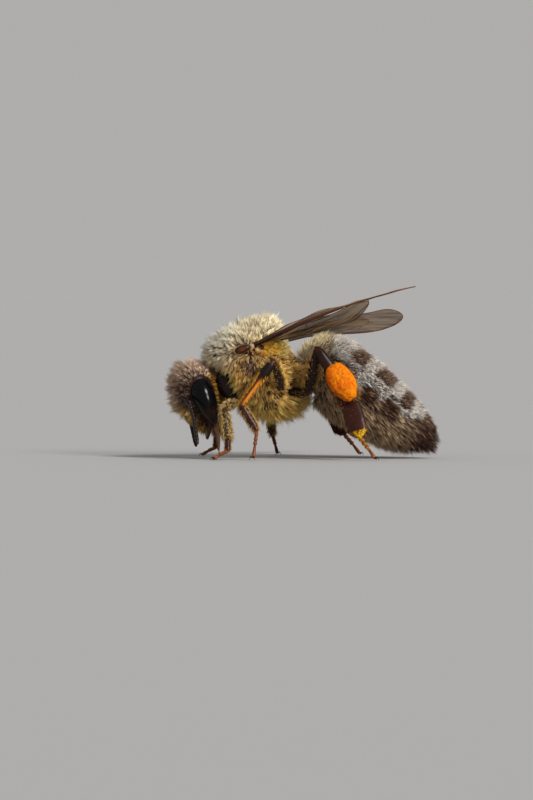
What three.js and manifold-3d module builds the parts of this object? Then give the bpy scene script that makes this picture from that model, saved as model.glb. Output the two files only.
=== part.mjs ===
// Honey bee, Apis mellifera: a worker standing on six feet, wings half spread.
// Each hind leg carries a pollen load.
// Millimetres, +Z up. The head is towards -X, the bee's left side towards -Y, and the floor is Z = 0.
// The trunk's solids reach to the tips of the coat. Wings, legs and feelers are thickened to a workable size.
import * as THREE from "three";
import { mergeVertices } from "three/addons/utils/BufferGeometryUtils.js";
import Module from "manifold-3d";

const wasm = await Module();
wasm.setup();

// Driving dimensions
const GAP = 0.03; // clearance where one piece meets the next
const THIN = 0.5; // thickness of wings, and least thickness of legs and feelers
const SLIVER = 0.012; // the finest detail kept along a cut
const TRUNK_SIDES = 20;
const LIMB_SIDES = 8;
const HEAD_CENTRE = [-4.81, 3.05];
const HEAD_PITCH = 20.5; // degrees: how far the face leans down from upright
const FOREWING_LENGTH = 8.9;
const EYE = { up: -0.41, front: -0.22, side: 1.34, long: 1.24, deep: 0.51, bulge: 0.58 };

const LEFT = -1;
const RIGHT = 1;
const SIDES = [
  ["left", LEFT],
  ["right", RIGHT],
];

// Materials
const finish = (color, roughness) => new THREE.MeshStandardMaterial({ color, roughness, metalness: 0 });
const COAT = finish(0xa88f5e, 0.9);
const FACE_COAT = finish(0x8f7a62, 0.9);
const BAND_COAT = finish(0x77695c, 0.8);
const SHELL = finish(0x2a1710, 0.35);
const EYE_BLACK = finish(0x0b0908, 0.15);
const MEMBRANE = finish(0x8a7355, 0.4);
const POLLEN = finish(0xe07a08, 0.85);

// Solids ------------------------------------------------------------------------------------------------

// A three.js geometry as a manifold-3d solid with its faces pointing out.
function solidOf(geometry) {
  const bare = geometry.clone();
  bare.deleteAttribute("normal");
  bare.deleteAttribute("uv");
  const merged = mergeVertices(bare, 1e-4);
  const triangles = new Uint32Array(merged.index.array);
  const build = () =>
    new wasm.Manifold(
      new wasm.Mesh({
        numProp: 3,
        vertProperties: merged.attributes.position.array,
        triVerts: triangles,
      }),
    );
  const made = build();
  if (made.volume() > 0) return made;
  for (let i = 0; i < triangles.length; i += 3)
    [triangles[i + 1], triangles[i + 2]] = [triangles[i + 2], triangles[i + 1]];
  return build();
}

// The largest body of a solid, so that a cut leaves no crumbs.
const largest = (solid) =>
  solid.decompose().reduce((a, b) => (a.volume() > b.volume() ? a : b));

const cut = (solid, ...cutters) =>
  largest(cutters.reduce((rest, cutter) => rest.subtract(cutter), solid)).simplify(SLIVER);

function geometryOf(solid) {
  const { numProp, vertProperties, numVert, triVerts } = solid.getMesh();
  const points = new Float32Array(numVert * 3);
  for (let i = 0; i < numVert; i++)
    points.set(vertProperties.subarray(i * numProp, i * numProp + 3), i * 3);
  const shared = new THREE.BufferGeometry()
    .setAttribute("position", new THREE.BufferAttribute(points, 3))
    .setIndex(new THREE.BufferAttribute(triVerts, 1));
  const flat = shared.toNonIndexed();
  flat.computeVertexNormals();
  return flat;
}

// A named mesh for a solid drawn in the bee's frame. Its origin is the pivot, where the piece joins the body.
function piece(name, solid, material, pivot) {
  const geometry = geometryOf(solid).translate(-pivot.x, -pivot.y, -pivot.z);
  const mesh = new THREE.Mesh(geometry, material);
  mesh.name = name;
  mesh.position.copy(pivot);
  return mesh;
}

const point = ([x, y, z]) => new THREE.Vector3(x, y, z);

// A lathe turned from [station, radius] pairs that start and end on the axis.
// Each vertex is then moved by place(station, across, up).
function turned(profile, sides, place) {
  const shape = new THREE.LatheGeometry(
    profile.map(([station, radius]) => new THREE.Vector2(radius, station)),
    sides,
  );
  const at = shape.getAttribute("position");
  for (let i = 0; i < at.count; i++) {
    const p = place(at.getY(i), at.getX(i), at.getZ(i));
    at.setXYZ(i, p.x, p.y, p.z);
  }
  return solidOf(shape);
}

// A smooth function through [x, value] pairs.
function through(pairs) {
  const curve = new THREE.SplineCurve(pairs.map(([x, y]) => new THREE.Vector2(x, y)));
  const samples = curve.getPoints(pairs.length * 12);
  return (x) => {
    const i = samples.findIndex((p) => p.x >= x);
    if (i < 0) return samples.at(-1).y;
    if (i === 0) return samples[0].y;
    const [a, b] = [samples[i - 1], samples[i]];
    return a.y + ((b.y - a.y) * (x - a.x)) / Math.max(b.x - a.x, 1e-9);
  };
}

// A trunk piece whose stations are [x, top, bottom, half width].
// Its rings stand upright across the bee, and it is closed at both ends.
function hull(stations, grow = 0) {
  const first = stations[0][0];
  const last = stations.at(-1)[0];
  const top = through(stations.map(([x, high]) => [x, high]));
  const bottom = through(stations.map(([x, , low]) => [x, low]));
  const half = through(stations.map(([x, , , wide]) => [x, wide]));
  const profile = [[first, 0], ...stations.map(([x]) => [x, 1]), [last, 0]];
  return turned(profile, TRUNK_SIDES, (x, across, up) => {
    const middle = (top(x) + bottom(x)) / 2;
    const high = (top(x) - bottom(x)) / 2 + grow;
    return point([x, across * (half(x) + grow), middle + up * high]);
  });
}

// A limb segment from a to b: an oval bar with rounded ends, wide along the flat direction, thick across it.
// girth is a list of [share of the length, half width, half thickness].
function segment(a, b, girth, flat, grow = 0) {
  const along = b.clone().sub(a);
  const length = along.length();
  along.normalize();
  const wide = flat.clone().addScaledVector(along, -flat.dot(along)).normalize();
  const thick = along.clone().cross(wide);
  const halfWidth = through(girth.map(([t, w]) => [t, w]));
  const halfThickness = through(girth.map(([t, , h]) => [t, h]));
  const ends = 0.6; // share of the girth where the end is rounded off
  const profile = [
    [0, 0],
    [0, ends],
    ...girth.slice(1, -1).map(([t]) => [t, 1]),
    [1, ends],
    [1, 0],
  ];
  return turned(profile, LIMB_SIDES, (t, across, up) =>
    a
      .clone()
      .addScaledVector(along, t * length + (t - 0.5) * 2 * grow)
      .addScaledVector(wide, across * (halfWidth(t) + grow))
      .addScaledVector(thick, up * (halfThickness(t) + grow)),
  );
}

// Head --------------------------------------------------------------------------------------------------

const tilt = THREE.MathUtils.degToRad(HEAD_PITCH);
const headUp = new THREE.Vector3(-Math.sin(tilt), 0, Math.cos(tilt));
const headFront = new THREE.Vector3(-Math.cos(tilt), 0, -Math.sin(tilt));
const headCentre = new THREE.Vector3(HEAD_CENTRE[0], 0, HEAD_CENTRE[1]);
const onHead = (up, front, side) =>
  headCentre
    .clone()
    .addScaledVector(headUp, up)
    .addScaledVector(headFront, front)
    .add(new THREE.Vector3(0, side, 0));

// [up, front of the coat, back, half width] from the mouth to the vertex
const HEAD = [
  [-1.75, 0.45, -0.4, 0.5],
  [-1.39, 0.8, -0.64, 0.85],
  [-0.9, 1.16, -0.94, 1.2],
  [-0.34, 1.38, -1.2, 1.52],
  [0.25, 1.48, -1.36, 1.74],
  [0.7, 1.42, -1.08, 1.76],
  [1.08, 1.26, -0.72, 1.6],
  [1.42, 1.02, -0.38, 1.28],
  [1.7, 0.76, -0.04, 0.84],
  [1.86, 0.5, 0.18, 0.4],
];

function headHull(grow = 0) {
  const column = (k) => through(HEAD.map((row) => [row[0], row[k]]));
  const [front, back, half] = [column(1), column(2), column(3)];
  const profile = [[HEAD[0][0], 0], ...HEAD.map(([up]) => [up, 1]), [HEAD.at(-1)[0], 0]];
  return turned(profile, TRUNK_SIDES, (up, across, deep) => {
    const middle = (front(up) + back(up)) / 2;
    const reach = (front(up) - back(up)) / 2 + grow;
    return onHead(up, middle + deep * reach, across * (half(up) + grow));
  });
}

// A compound eye: a long bean on the side of the head.
function eye(side, grow = 0) {
  const ball = new THREE.SphereGeometry(1, 14, 9);
  const at = ball.getAttribute("position");
  for (let i = 0; i < at.count; i++) {
    const up = at.getY(i);
    const narrow = 1 + 0.34 * up; // broader towards the top
    const p = onHead(
      EYE.up + up * (EYE.long + grow),
      EYE.front + 0.05 * up + at.getX(i) * (EYE.deep * narrow + grow),
      side * (EYE.side - 0.16 * up * up + at.getZ(i) * (EYE.bulge + grow)),
    );
    at.setXYZ(i, p.x, p.y, p.z);
  }
  return solidOf(ball);
}

const feeler = (a, b, grow = 0) =>
  segment(
    a,
    b,
    [
      [0, THIN / 2, THIN / 2],
      [0.1, THIN / 2, THIN / 2],
      [0.9, THIN / 2, THIN / 2],
      [1, THIN / 2, THIN / 2],
    ],
    new THREE.Vector3(0, 1, 0.2),
    grow,
  );

// The scape's ends and the flagellum's bend and tip
const ANTENNAE = {
  left: [
    [-5.75, -0.4, 3.0],
    [-5.2, -1.85, 2.66],
    [-5.02, -2.6, 1.9],
    [-4.84, -3.3, 0.76],
  ],
  right: [
    [-5.75, 0.4, 3.0],
    [-5.35, 1.85, 2.7],
    [-5.27, 2.35, 1.85],
    [-4.97, 2.6, 0.5],
  ],
};

function antenna(name) {
  const [socket, elbow, bend, tip] = ANTENNAE[name].map(point);
  const scape = feeler(socket, elbow);
  const upper = feeler(elbow, bend);
  const lower = feeler(bend.clone().lerp(elbow, 0.08), tip);
  return {
    scape,
    flagellum: cut(upper.add(lower), feeler(socket, elbow, GAP)),
    socket,
    elbow,
  };
}

const MANDIBLE_ROOT = [-1.42, -0.12];

function mandible(side, grow = 0) {
  return segment(
    onHead(...MANDIBLE_ROOT, side * 0.72),
    onHead(-1.98, 0.3, side * 0.3),
    [
      [0, 0.26, 0.2],
      [0.2, 0.28, 0.22],
      [0.8, 0.26, 0.24],
      [1, 0.24, 0.22],
    ],
    headFront,
    grow,
  );
}

const PROBOSCIS_ROOT = new THREE.Vector3(-4.14, 0, 1.5);
const PROBOSCIS_TIP = new THREE.Vector3(-3.84, 0, 0.12);
const proboscis = (grow = 0) =>
  segment(
    PROBOSCIS_ROOT,
    PROBOSCIS_TIP,
    [
      [0, 0.26, 0.34],
      [0.15, 0.28, 0.34],
      [0.55, 0.26, 0.28],
      [1, 0.25, 0.25],
    ],
    new THREE.Vector3(1, 0, 0),
    grow,
  );

// Trunk -------------------------------------------------------------------------------------------------

// [x, top, bottom, half width]
const THORAX = [
  [-4.95, 4.9, 4.76, 0.2],
  [-4.75, 5.2, 4.5, 0.75],
  [-4.4, 5.66, 4.2, 1.25],
  [-3.9, 6.12, 4.12, 1.7],
  [-3.3, 6.42, 3.6, 2.0],
  [-2.75, 6.64, 2.55, 2.18],
  [-2.2, 6.78, 2.05, 2.25],
  [-1.5, 6.84, 1.95, 2.2],
  [-0.95, 6.56, 2.0, 1.95],
  [-0.45, 5.95, 2.2, 1.5],
  [-0.08, 5.3, 2.75, 1.0],
  [0.12, 4.7, 3.45, 0.55],
];
const PROTHORAX = [
  [-4.02, 4.2, 3.75, 0.35],
  [-3.75, 4.4, 3.35, 0.66],
  [-3.4, 4.6, 3.0, 0.76],
  [-3.0, 4.6, 2.8, 0.78],
  [-2.72, 4.5, 2.85, 0.6],
];
const PETIOLE = [
  [0.05, 4.45, 3.75, 0.36],
  [0.25, 4.4, 3.75, 0.36],
  [0.5, 4.45, 3.7, 0.4],
];

// The abdomen's centre line, with its half height and half width out to the coat.
// [x, z, half height, half width]
const ABDOMEN = [
  [0.25, 4.15, 0.8, 0.8],
  [0.68, 4.26, 1.54, 1.5],
  [1.35, 4.14, 1.9, 2.0],
  [2.22, 3.54, 2.02, 2.22],
  [3.14, 2.86, 1.88, 2.22],
  [4.1, 2.14, 1.68, 2.02],
  [4.95, 1.6, 1.42, 1.68],
  [5.7, 1.12, 1.0, 1.16],
  [6.16, 0.72, 0.52, 0.66],
  [6.38, 0.46, 0.2, 0.28],
];
// Where each segment ends, as a share of the centre line, from the front one to the last
const SEGMENT_ENDS = [0.2, 0.36, 0.497, 0.66, 0.81, 1];
const TERGITE_LIP = 0.05; // how far a segment's hind rim stands out over the next one

const abdomenLine = new THREE.SplineCurve(ABDOMEN.map(([x, z]) => new THREE.Vector2(x, z)));
const share = (i) => i / (ABDOMEN.length - 1);
const abdomenHeight = through(ABDOMEN.map(([, , high], i) => [share(i), high]));
const abdomenWidth = through(ABDOMEN.map(([, , , wide], i) => [share(i), wide]));

// The abdomen between two shares of its centre line.
function abdomenRing(from, to, lip, grow = 0) {
  const steps = 3;
  const stations = Array.from({ length: steps + 1 }, (_, i) => from + ((to - from) * i) / steps);
  const profile = [[from, 0], ...stations.map((s) => [s, 1]), [to, 0]];
  return turned(profile, TRUNK_SIDES, (s, across, up) => {
    const centre = abdomenLine.getPoint(s);
    const along = abdomenLine.getTangent(s);
    const rim = grow + lip * ((s - from) / (to - from));
    const high = up * (abdomenHeight(s) + rim);
    return point([
      centre.x - along.y * high,
      across * (abdomenWidth(s) + rim),
      centre.y + along.x * high,
    ]);
  });
}

function tegula(side, grow = 0) {
  return segment(
    point([-3.05, side * 2.0, 5.14]),
    point([-2.4, side * 2.06, 5.36]),
    [
      [0, 0.2, 0.16],
      [0.3, 0.26, 0.2],
      [0.7, 0.26, 0.2],
      [1, 0.2, 0.16],
    ],
    new THREE.Vector3(-0.5, 0, 1),
    grow,
  );
}

// Wings -------------------------------------------------------------------------------------------------

// Outlines in [along the span, back from the leading edge]
const FOREWING = [
  [0, 0.05],
  [1.5, -0.05],
  [4.4, -0.03],
  [7.0, 0.06],
  [8.3, 0.42],
  [8.86, 1.1],
  [8.7, 1.88],
  [7.95, 2.52],
  [6.8, 2.84],
  [5.7, 2.62],
  [4.1, 1.92],
  [2.1, 1.16],
  [0.7, 0.68],
  [0, 0.52],
];
const HINDWING = [
  [0.3, 0.5],
  [2.3, 0.59],
  [4.3, 0.86],
  [5.5, 1.21],
  [6.05, 1.66],
  [6.07, 2.02],
  [5.6, 2.43],
  [4.57, 2.62],
  [3.38, 2.44],
  [2.2, 1.94],
  [1.15, 1.3],
  [0.3, 0.9],
];

// Where a wing springs from, where its leading edge ends and how far the span arches. Then how far the fore and
// the hind blade raise their trailing sides, [at the root, at the tip], and how far the hind blade hangs below
// the fore one.
const WINGS = {
  left: {
    root: [-2.19, -1.9, 5.33],
    tip: [4.44, -7.29, 7.98],
    arch: 0.22,
    fore: [0.3, -0.12],
    rear: [-0.45, -0.3],
    hang: 0.12,
  },
  right: {
    root: [-2.19, 1.9, 5.36],
    tip: [4.0, 8.33, 5.9],
    arch: 0.22,
    fore: [0.38, 0.4],
    rear: [0.38, 0.4],
    hang: 0.4,
  },
};

function wingFrame(name) {
  const { root, tip } = WINGS[name];
  const start = point(root);
  const along = point(tip).sub(start).normalize();
  const inward = new THREE.Vector3(0, -Math.sign(root[1]), 0);
  const level = inward.clone().addScaledVector(along, -inward.dot(along)).normalize();
  const lift = along.clone().cross(level);
  if (lift.z < 0) lift.negate();
  return { start, along, level, lift };
}

// A wing blade: its outline extruded, then laid in the wing's frame, twisted and arched along the span.
function blade(name, outline, [rootRaise, tipRaise], drop, grow = 0) {
  const { start, along, level, lift } = wingFrame(name);
  const curve = new THREE.SplineCurve(outline.map(([x, y]) => new THREE.Vector2(x, y)));
  const shape = new THREE.Shape(curve.getPoints(22));
  const thickness = THIN + 2 * grow;
  const slab = new THREE.ExtrudeGeometry(shape, { depth: thickness, bevelEnabled: false, steps: 1 });
  const at = slab.getAttribute("position");
  for (let i = 0; i < at.count; i++) {
    const span = at.getX(i);
    const chord = at.getY(i);
    const arch = WINGS[name].arch * Math.sin((Math.PI * span) / FOREWING_LENGTH);
    const height = at.getZ(i) - thickness / 2 + arch - drop;
    const raised = rootRaise + ((tipRaise - rootRaise) * span) / FOREWING_LENGTH;
    const back = level.clone().addScaledVector(lift, raised).normalize();
    const up = lift.clone().addScaledVector(level, -raised).normalize();
    const p = start
      .clone()
      .addScaledVector(along, span)
      .addScaledVector(back, chord)
      .addScaledVector(up, height);
    at.setXYZ(i, p.x, p.y, p.z);
  }
  return solidOf(slab);
}

const forewing = (name, grow = 0) => blade(name, FOREWING, WINGS[name].fore, 0, grow);
const hindwing = (name, grow = 0) => blade(name, HINDWING, WINGS[name].rear, WINGS[name].hang, grow);

// Legs --------------------------------------------------------------------------------------------------

// Joints of each leg from hip to toe: coxa, trochanter, knee, ankle, end of the basitarsus, toe
const LEGS = {
  fore_left: [
    [-3.72, -0.86, 4.05],
    [-3.1, -1.06, 2.68],
    [-3.57, -2.75, 2.33],
    [-3.42, -3.05, 1.0],
    [-3.42, -3.35, 0.42],
    [-4.2, -3.8, -0.1],
  ],
  mid_left: [
    [-1.75, -0.85, 2.55],
    [-0.86, -1.62, 3.16],
    [-1.26, -3.0, 4.68],
    [-2.8, -3.2, 2.6],
    [-2.05, -3.36, 1.38],
    [-2.22, -3.75, -0.1],
  ],
  hind_left: [
    [-0.5, -1.02, 3.08],
    [0.36, -1.5, 3.15],
    [0.8, -2.96, 5.3],
    [2.33, -3.28, 2.76],
    [2.74, -4.1, 1.12],
    [3.58, -4.55, -0.1],
  ],
  fore_right: [
    [-3.72, 0.86, 4.05],
    [-3.1, 1.06, 2.68],
    [-3.85, 2.66, 2.4],
    [-4.0, 3.05, 1.1],
    [-4.02, 3.3, 0.44],
    [-4.8, 3.8, -0.1],
  ],
  mid_right: [
    [-1.75, 0.85, 2.55],
    [-0.86, 1.62, 3.1],
    [-0.95, 3.2, 4.4],
    [-1.5, 4.15, 2.38],
    [-1.3, 4.55, 1.0],
    [-1.05, 5.3, -0.1],
  ],
  hind_right: [
    [-0.5, 1.02, 3.08],
    [0.3, 1.5, 3.15],
    [0.4, 3.0, 5.22],
    [1.6, 3.4, 2.62],
    [2.15, 4.25, 1.05],
    [3.0, 4.85, -0.1],
  ],
};
// Half width and half thickness of each segment at its two ends and its middle
const GIRTHS = {
  fore: { femur: [0.27, 0.25, 0.3], tibia: [0.25, 0.25, 0.27], basitarsus: [0.25, 0.25, 0.25] },
  mid: { femur: [0.27, 0.25, 0.3], tibia: [0.25, 0.25, 0.3], basitarsus: [0.26, 0.25, 0.3] },
  hind: { femur: [0.28, 0.26, 0.34], tibia: [0.26, 0.25, 0.44], basitarsus: [0.45, 0.25, 0.55] },
};
const COXA_GIRTH = [0.3, 0.29, 0.34];
const TARSUS_GIRTH = [0.25, 0.25, 0.25];

// girth as [half width at the ends, half thickness, half width at the middle]
const oval = ([ends, thick, middle]) => [
  [0, ends, thick],
  [0.15, (ends + middle) / 2, thick],
  [0.6, middle, thick],
  [0.88, (ends + middle) / 2, thick],
  [1, ends, thick],
];

const floorBlock = solidOf(new THREE.BoxGeometry(40, 40, 4).translate(0, 0, -2));

function leg(name) {
  const [hip, trochanter, knee, ankle, heel, toe] = LEGS[name].map(point);
  const girths = GIRTHS[name.split("_")[0]];
  const edge = new THREE.Vector3(1, 0, 0.3); // the flat of a leg faces outwards
  const rows = [
    ["coxa", hip, trochanter, COXA_GIRTH],
    ["femur", trochanter, knee, girths.femur],
    ["tibia", knee, ankle, girths.tibia],
    ["basitarsus", ankle, heel, girths.basitarsus],
    ["tarsus", heel, toe, TARSUS_GIRTH],
  ];
  return rows.map(([part, a, b, girth], i) => {
    const whole = segment(a, b, oval(girth), edge);
    const before = i && segment(rows[i - 1][1], rows[i - 1][2], oval(rows[i - 1][3]), edge, GAP);
    const freed = before ? cut(whole, before) : whole;
    const solid = part === "tarsus" ? cut(freed, floorBlock) : freed;
    const grown = segment(a, b, oval(girth), edge, GAP);
    return { name: `leg_${name}_${part}`, part, solid, grown, pivot: a };
  });
}

// The load packed on the outer side of a hind tibia: a lumpy egg.
const LOAD = { along: 0.675, half: 1.0, wide: 0.63, thick: 0.5, back: 0.13 };
function pollenLoad(name, side) {
  const [, , knee, ankle] = LEGS[name].map(point);
  const along = ankle.clone().sub(knee).normalize();
  const out = new THREE.Vector3(0, side, 0);
  const wide = along.clone().cross(out).normalize();
  if (wide.x < 0) wide.negate();
  const centre = knee
    .clone()
    .lerp(ankle, LOAD.along)
    .addScaledVector(out, 0.36)
    .addScaledVector(wide, LOAD.back);
  const ball = new THREE.SphereGeometry(1, 12, 8);
  const at = ball.getAttribute("position");
  for (let i = 0; i < at.count; i++) {
    const down = -at.getY(i);
    const p = centre
      .clone()
      .addScaledVector(along, down * LOAD.half)
      .addScaledVector(wide, at.getX(i) * LOAD.wide * (1 - 0.18 * down))
      .addScaledVector(out, at.getZ(i) * LOAD.thick);
    at.setXYZ(i, p.x, p.y, p.z);
  }
  return { solid: solidOf(ball), pivot: centre };
}

// Assembly ----------------------------------------------------------------------------------------------

const legs = Object.keys(LEGS).flatMap(leg);
const nearTrunk = legs.filter(({ part }) => ["coxa", "femur"].includes(part));
const hips = legs.filter(({ part }) => part === "coxa").map(({ grown }) => grown);

function buildHead() {
  const head = new THREE.Group();
  const antennae = SIDES.map(([name]) => [name, antenna(name)]);
  const mouthparts = [mandible(LEFT, GAP), mandible(RIGHT, GAP), proboscis(GAP)];
  const eyes = SIDES.map(([, side]) => eye(side, GAP));
  const scapes = antennae.map(([name]) => feeler(...ANTENNAE[name].slice(0, 2).map(point), GAP));
  head.add(piece("head", cut(headHull(), ...eyes, ...scapes, ...mouthparts), FACE_COAT, headCentre));
  for (const [name, side] of SIDES) {
    head.add(piece(`eye_${name}`, eye(side), EYE_BLACK, onHead(EYE.up, EYE.front, side * EYE.side)));
    head.add(piece(`mandible_${name}`, mandible(side), SHELL, onHead(...MANDIBLE_ROOT, side * 0.72)));
  }
  for (const [name, { scape, flagellum, socket, elbow }] of antennae) {
    head.add(piece(`antenna_${name}_scape`, scape, SHELL, socket));
    head.add(piece(`antenna_${name}_flagellum`, flagellum, SHELL, elbow));
  }
  head.add(piece("proboscis", proboscis(), SHELL, PROBOSCIS_ROOT));
  return head;
}

function buildTrunk() {
  const trunk = new THREE.Group();
  const wingRoots = SIDES.flatMap(([name, side]) => [forewing(name, GAP), tegula(side, GAP)]);
  const rearWings = SIDES.map(([name]) => hindwing(name, GAP));
  const limbs = nearTrunk.map(({ grown }) => grown);
  const thorax = cut(hull(THORAX), headHull(GAP), ...limbs, ...wingRoots, ...rearWings);
  const prothorax = cut(hull(PROTHORAX), headHull(GAP), hull(THORAX, GAP), ...hips);
  const petiole = cut(hull(PETIOLE), hull(THORAX, GAP), abdomenRing(0, SEGMENT_ENDS[0], 0, GAP));
  trunk.add(piece("thorax", thorax, COAT, new THREE.Vector3(-2, 0, 4.6)));
  trunk.add(piece("prothorax", prothorax, SHELL, new THREE.Vector3(-3.4, 0, 3.8)));
  trunk.add(piece("petiole", petiole, SHELL, new THREE.Vector3(0.2, 0, 4.1)));
  const limbsByAbdomen = nearTrunk.filter(({ name }) => name.includes("hind")).map(({ grown }) => grown);
  SEGMENT_ENDS.forEach((end, i) => {
    const start = i ? SEGMENT_ENDS[i - 1] : 0;
    const margin = i ? 0.005 : 0; // the gap to the segment before, as a share of the centre line
    const lip = end < 1 ? TERGITE_LIP : 0;
    const ring = cut(abdomenRing(start + margin, end, lip), hull(THORAX, GAP), ...limbsByAbdomen);
    const front = abdomenLine.getPoint(start);
    trunk.add(piece(`abdomen_${i + 1}`, ring, BAND_COAT, new THREE.Vector3(front.x, 0, front.y)));
  });
  return trunk;
}

function buildWings() {
  const wings = new THREE.Group();
  for (const [name, side] of SIDES) {
    const shoulder = cut(tegula(side), forewing(name, GAP));
    const knees = nearTrunk.filter((part) => part.name.startsWith(`leg_hind_${name}`));
    const around = [forewing(name, GAP), tegula(side, GAP), ...knees.map(({ grown }) => grown)];
    const rear = cut(hindwing(name), ...around);
    wings.add(piece(`tegula_${name}`, shoulder, SHELL, point([-2.7, side * 2.03, 5.25])));
    wings.add(piece(`forewing_${name}`, forewing(name), MEMBRANE, point(WINGS[name].root)));
    wings.add(piece(`hindwing_${name}`, rear, MEMBRANE, point(WINGS[name].root)));
  }
  return wings;
}

function buildLegs() {
  const group = new THREE.Group();
  const loads = SIDES.map(([name, side]) => [name, pollenLoad(`hind_${name}`, side)]);
  for (const { name, solid, pivot } of legs) group.add(piece(name, solid, SHELL, pivot));
  for (const [name, { solid, pivot }] of loads) {
    const carriers = legs.filter((part) => part.name.startsWith(`leg_hind_${name}`));
    const packed = cut(solid, ...carriers.map(({ grown }) => grown));
    group.add(piece(`pollen_load_${name}`, packed, POLLEN, pivot));
  }
  return group;
}

const bee = new THREE.Group();
bee.add(buildHead(), buildTrunk(), buildWings(), buildLegs());

// The frame's origin is under the middle of the bounding box, on the floor.
const bounds = new THREE.Box3().setFromObject(bee);
const middle = bounds.getCenter(new THREE.Vector3());
bee.position.set(-middle.x, -middle.y, -bounds.min.z);
bee.updateMatrixWorld(true);

export default bee;
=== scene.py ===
"""A worker honey bee with pollen loads: skin, plates, coat, wings and legs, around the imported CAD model.

Shapes are worked out in the bee's own frame, in millimetres: the head towards -X, the bee's left side
towards -Y, the floor at Z = 0 and the body's plane of symmetry at Y = 0. make_object() turns them into
metres in the CAD frame.
"""

import math

import bpy
import numpy as np
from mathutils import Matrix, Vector
from mathutils.kdtree import KDTree


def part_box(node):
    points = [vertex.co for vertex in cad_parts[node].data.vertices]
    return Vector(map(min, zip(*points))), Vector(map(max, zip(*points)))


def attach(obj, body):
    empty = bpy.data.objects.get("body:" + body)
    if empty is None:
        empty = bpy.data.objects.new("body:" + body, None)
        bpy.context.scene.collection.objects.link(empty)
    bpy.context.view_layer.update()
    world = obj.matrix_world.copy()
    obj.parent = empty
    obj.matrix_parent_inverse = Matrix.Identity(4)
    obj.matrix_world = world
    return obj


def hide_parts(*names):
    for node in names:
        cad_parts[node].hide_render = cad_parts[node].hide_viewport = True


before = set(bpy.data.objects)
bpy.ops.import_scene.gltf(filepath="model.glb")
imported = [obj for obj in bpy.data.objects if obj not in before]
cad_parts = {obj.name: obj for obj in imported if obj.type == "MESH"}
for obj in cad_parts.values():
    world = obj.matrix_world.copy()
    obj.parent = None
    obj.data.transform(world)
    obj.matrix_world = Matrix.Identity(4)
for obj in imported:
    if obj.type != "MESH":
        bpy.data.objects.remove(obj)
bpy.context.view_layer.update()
RNG = np.random.default_rng(11)

# Where the CAD frame's origin lies in the bee's frame
EYE_MIDDLE_X = -4.4857
_left, _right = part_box("eye_left"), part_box("eye_right")
SHIFT = np.array([
    (_left[0].x + _left[1].x) / 2 - EYE_MIDDLE_X / 1000,
    (_left[0].y + _right[1].y) / 2,
    0.0,
])
SIDES = (("left", -1), ("right", 1))
TAU = 2 * np.pi


# ---- numbers and colours

def srgb(r, g, b):
    """A colour given as 0-255 screen values, in linear light."""
    c = np.array([r, g, b], float) / 255
    return np.where(c <= 0.04045, c / 12.92, ((c + 0.055) / 1.055) ** 2.4)


def unit(v):
    return v / np.maximum(np.linalg.norm(v, axis=-1, keepdims=True), 1e-12)


def mix(a, b, t):
    t = np.asarray(t)[..., None]
    return a * (1 - t) + b * t


def layered(colour, *layers):
    """A colour with others laid over it in turn, each given as (colour, share)."""
    for over, share in layers:
        colour = mix(colour, over, share)
    return colour


def step(lo, hi, x):
    """0 up to lo, 1 from hi on, and smooth between; the other way round where hi is below lo."""
    t = np.clip((x - lo) / (hi - lo), 0, 1)
    return t * t * (3 - 2 * t)


def round_the_ring(sides):
    return np.linspace(0, TAU, sides, endpoint=False)


def lattice(a, b):
    """Every value of a with every value of b, as two grids."""
    return np.meshgrid(a, b, indexing="ij")


def catmull(table, t):
    """Rows of a table run through smoothly; t goes from 0 at the first row to 1 at the last."""
    table = np.asarray(table, float)
    last = len(table) - 1
    p = np.clip(t, 0, 1) * last
    i = np.minimum(np.floor(p).astype(int), last - 1)
    w = (p - i)[..., None]
    a, b = table[np.maximum(i - 1, 0)], table[i]
    c, d = table[i + 1], table[np.minimum(i + 2, last)]
    return b + 0.5 * w * (c - a + w * (2 * a - 5 * b + 4 * c - d + w * (3 * (b - c) + d - a)))


def noise(p, scale, seed=0):
    """Smooth value noise from 0 to 1 at points p."""
    q = np.asarray(p, float) * scale + seed * 17.3
    i = np.floor(q).astype(np.int64)
    f = q - i
    f = f * f * (3 - 2 * f)
    total = 0
    for corner in range(8):
        o = np.array([corner & 1, corner >> 1 & 1, corner >> 2 & 1])
        k = (i + o) @ np.array([374761393, 668265263, 1274126177])
        k = (k ^ (k >> 13)) * 1103515245 & 0x7FFFFFFF
        value = (k ^ (k >> 16)) % 65536 / 65535
        total = total + value * np.prod(np.where(o, f, 1 - f), axis=-1)
    return total


# ---- mesh making

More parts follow.
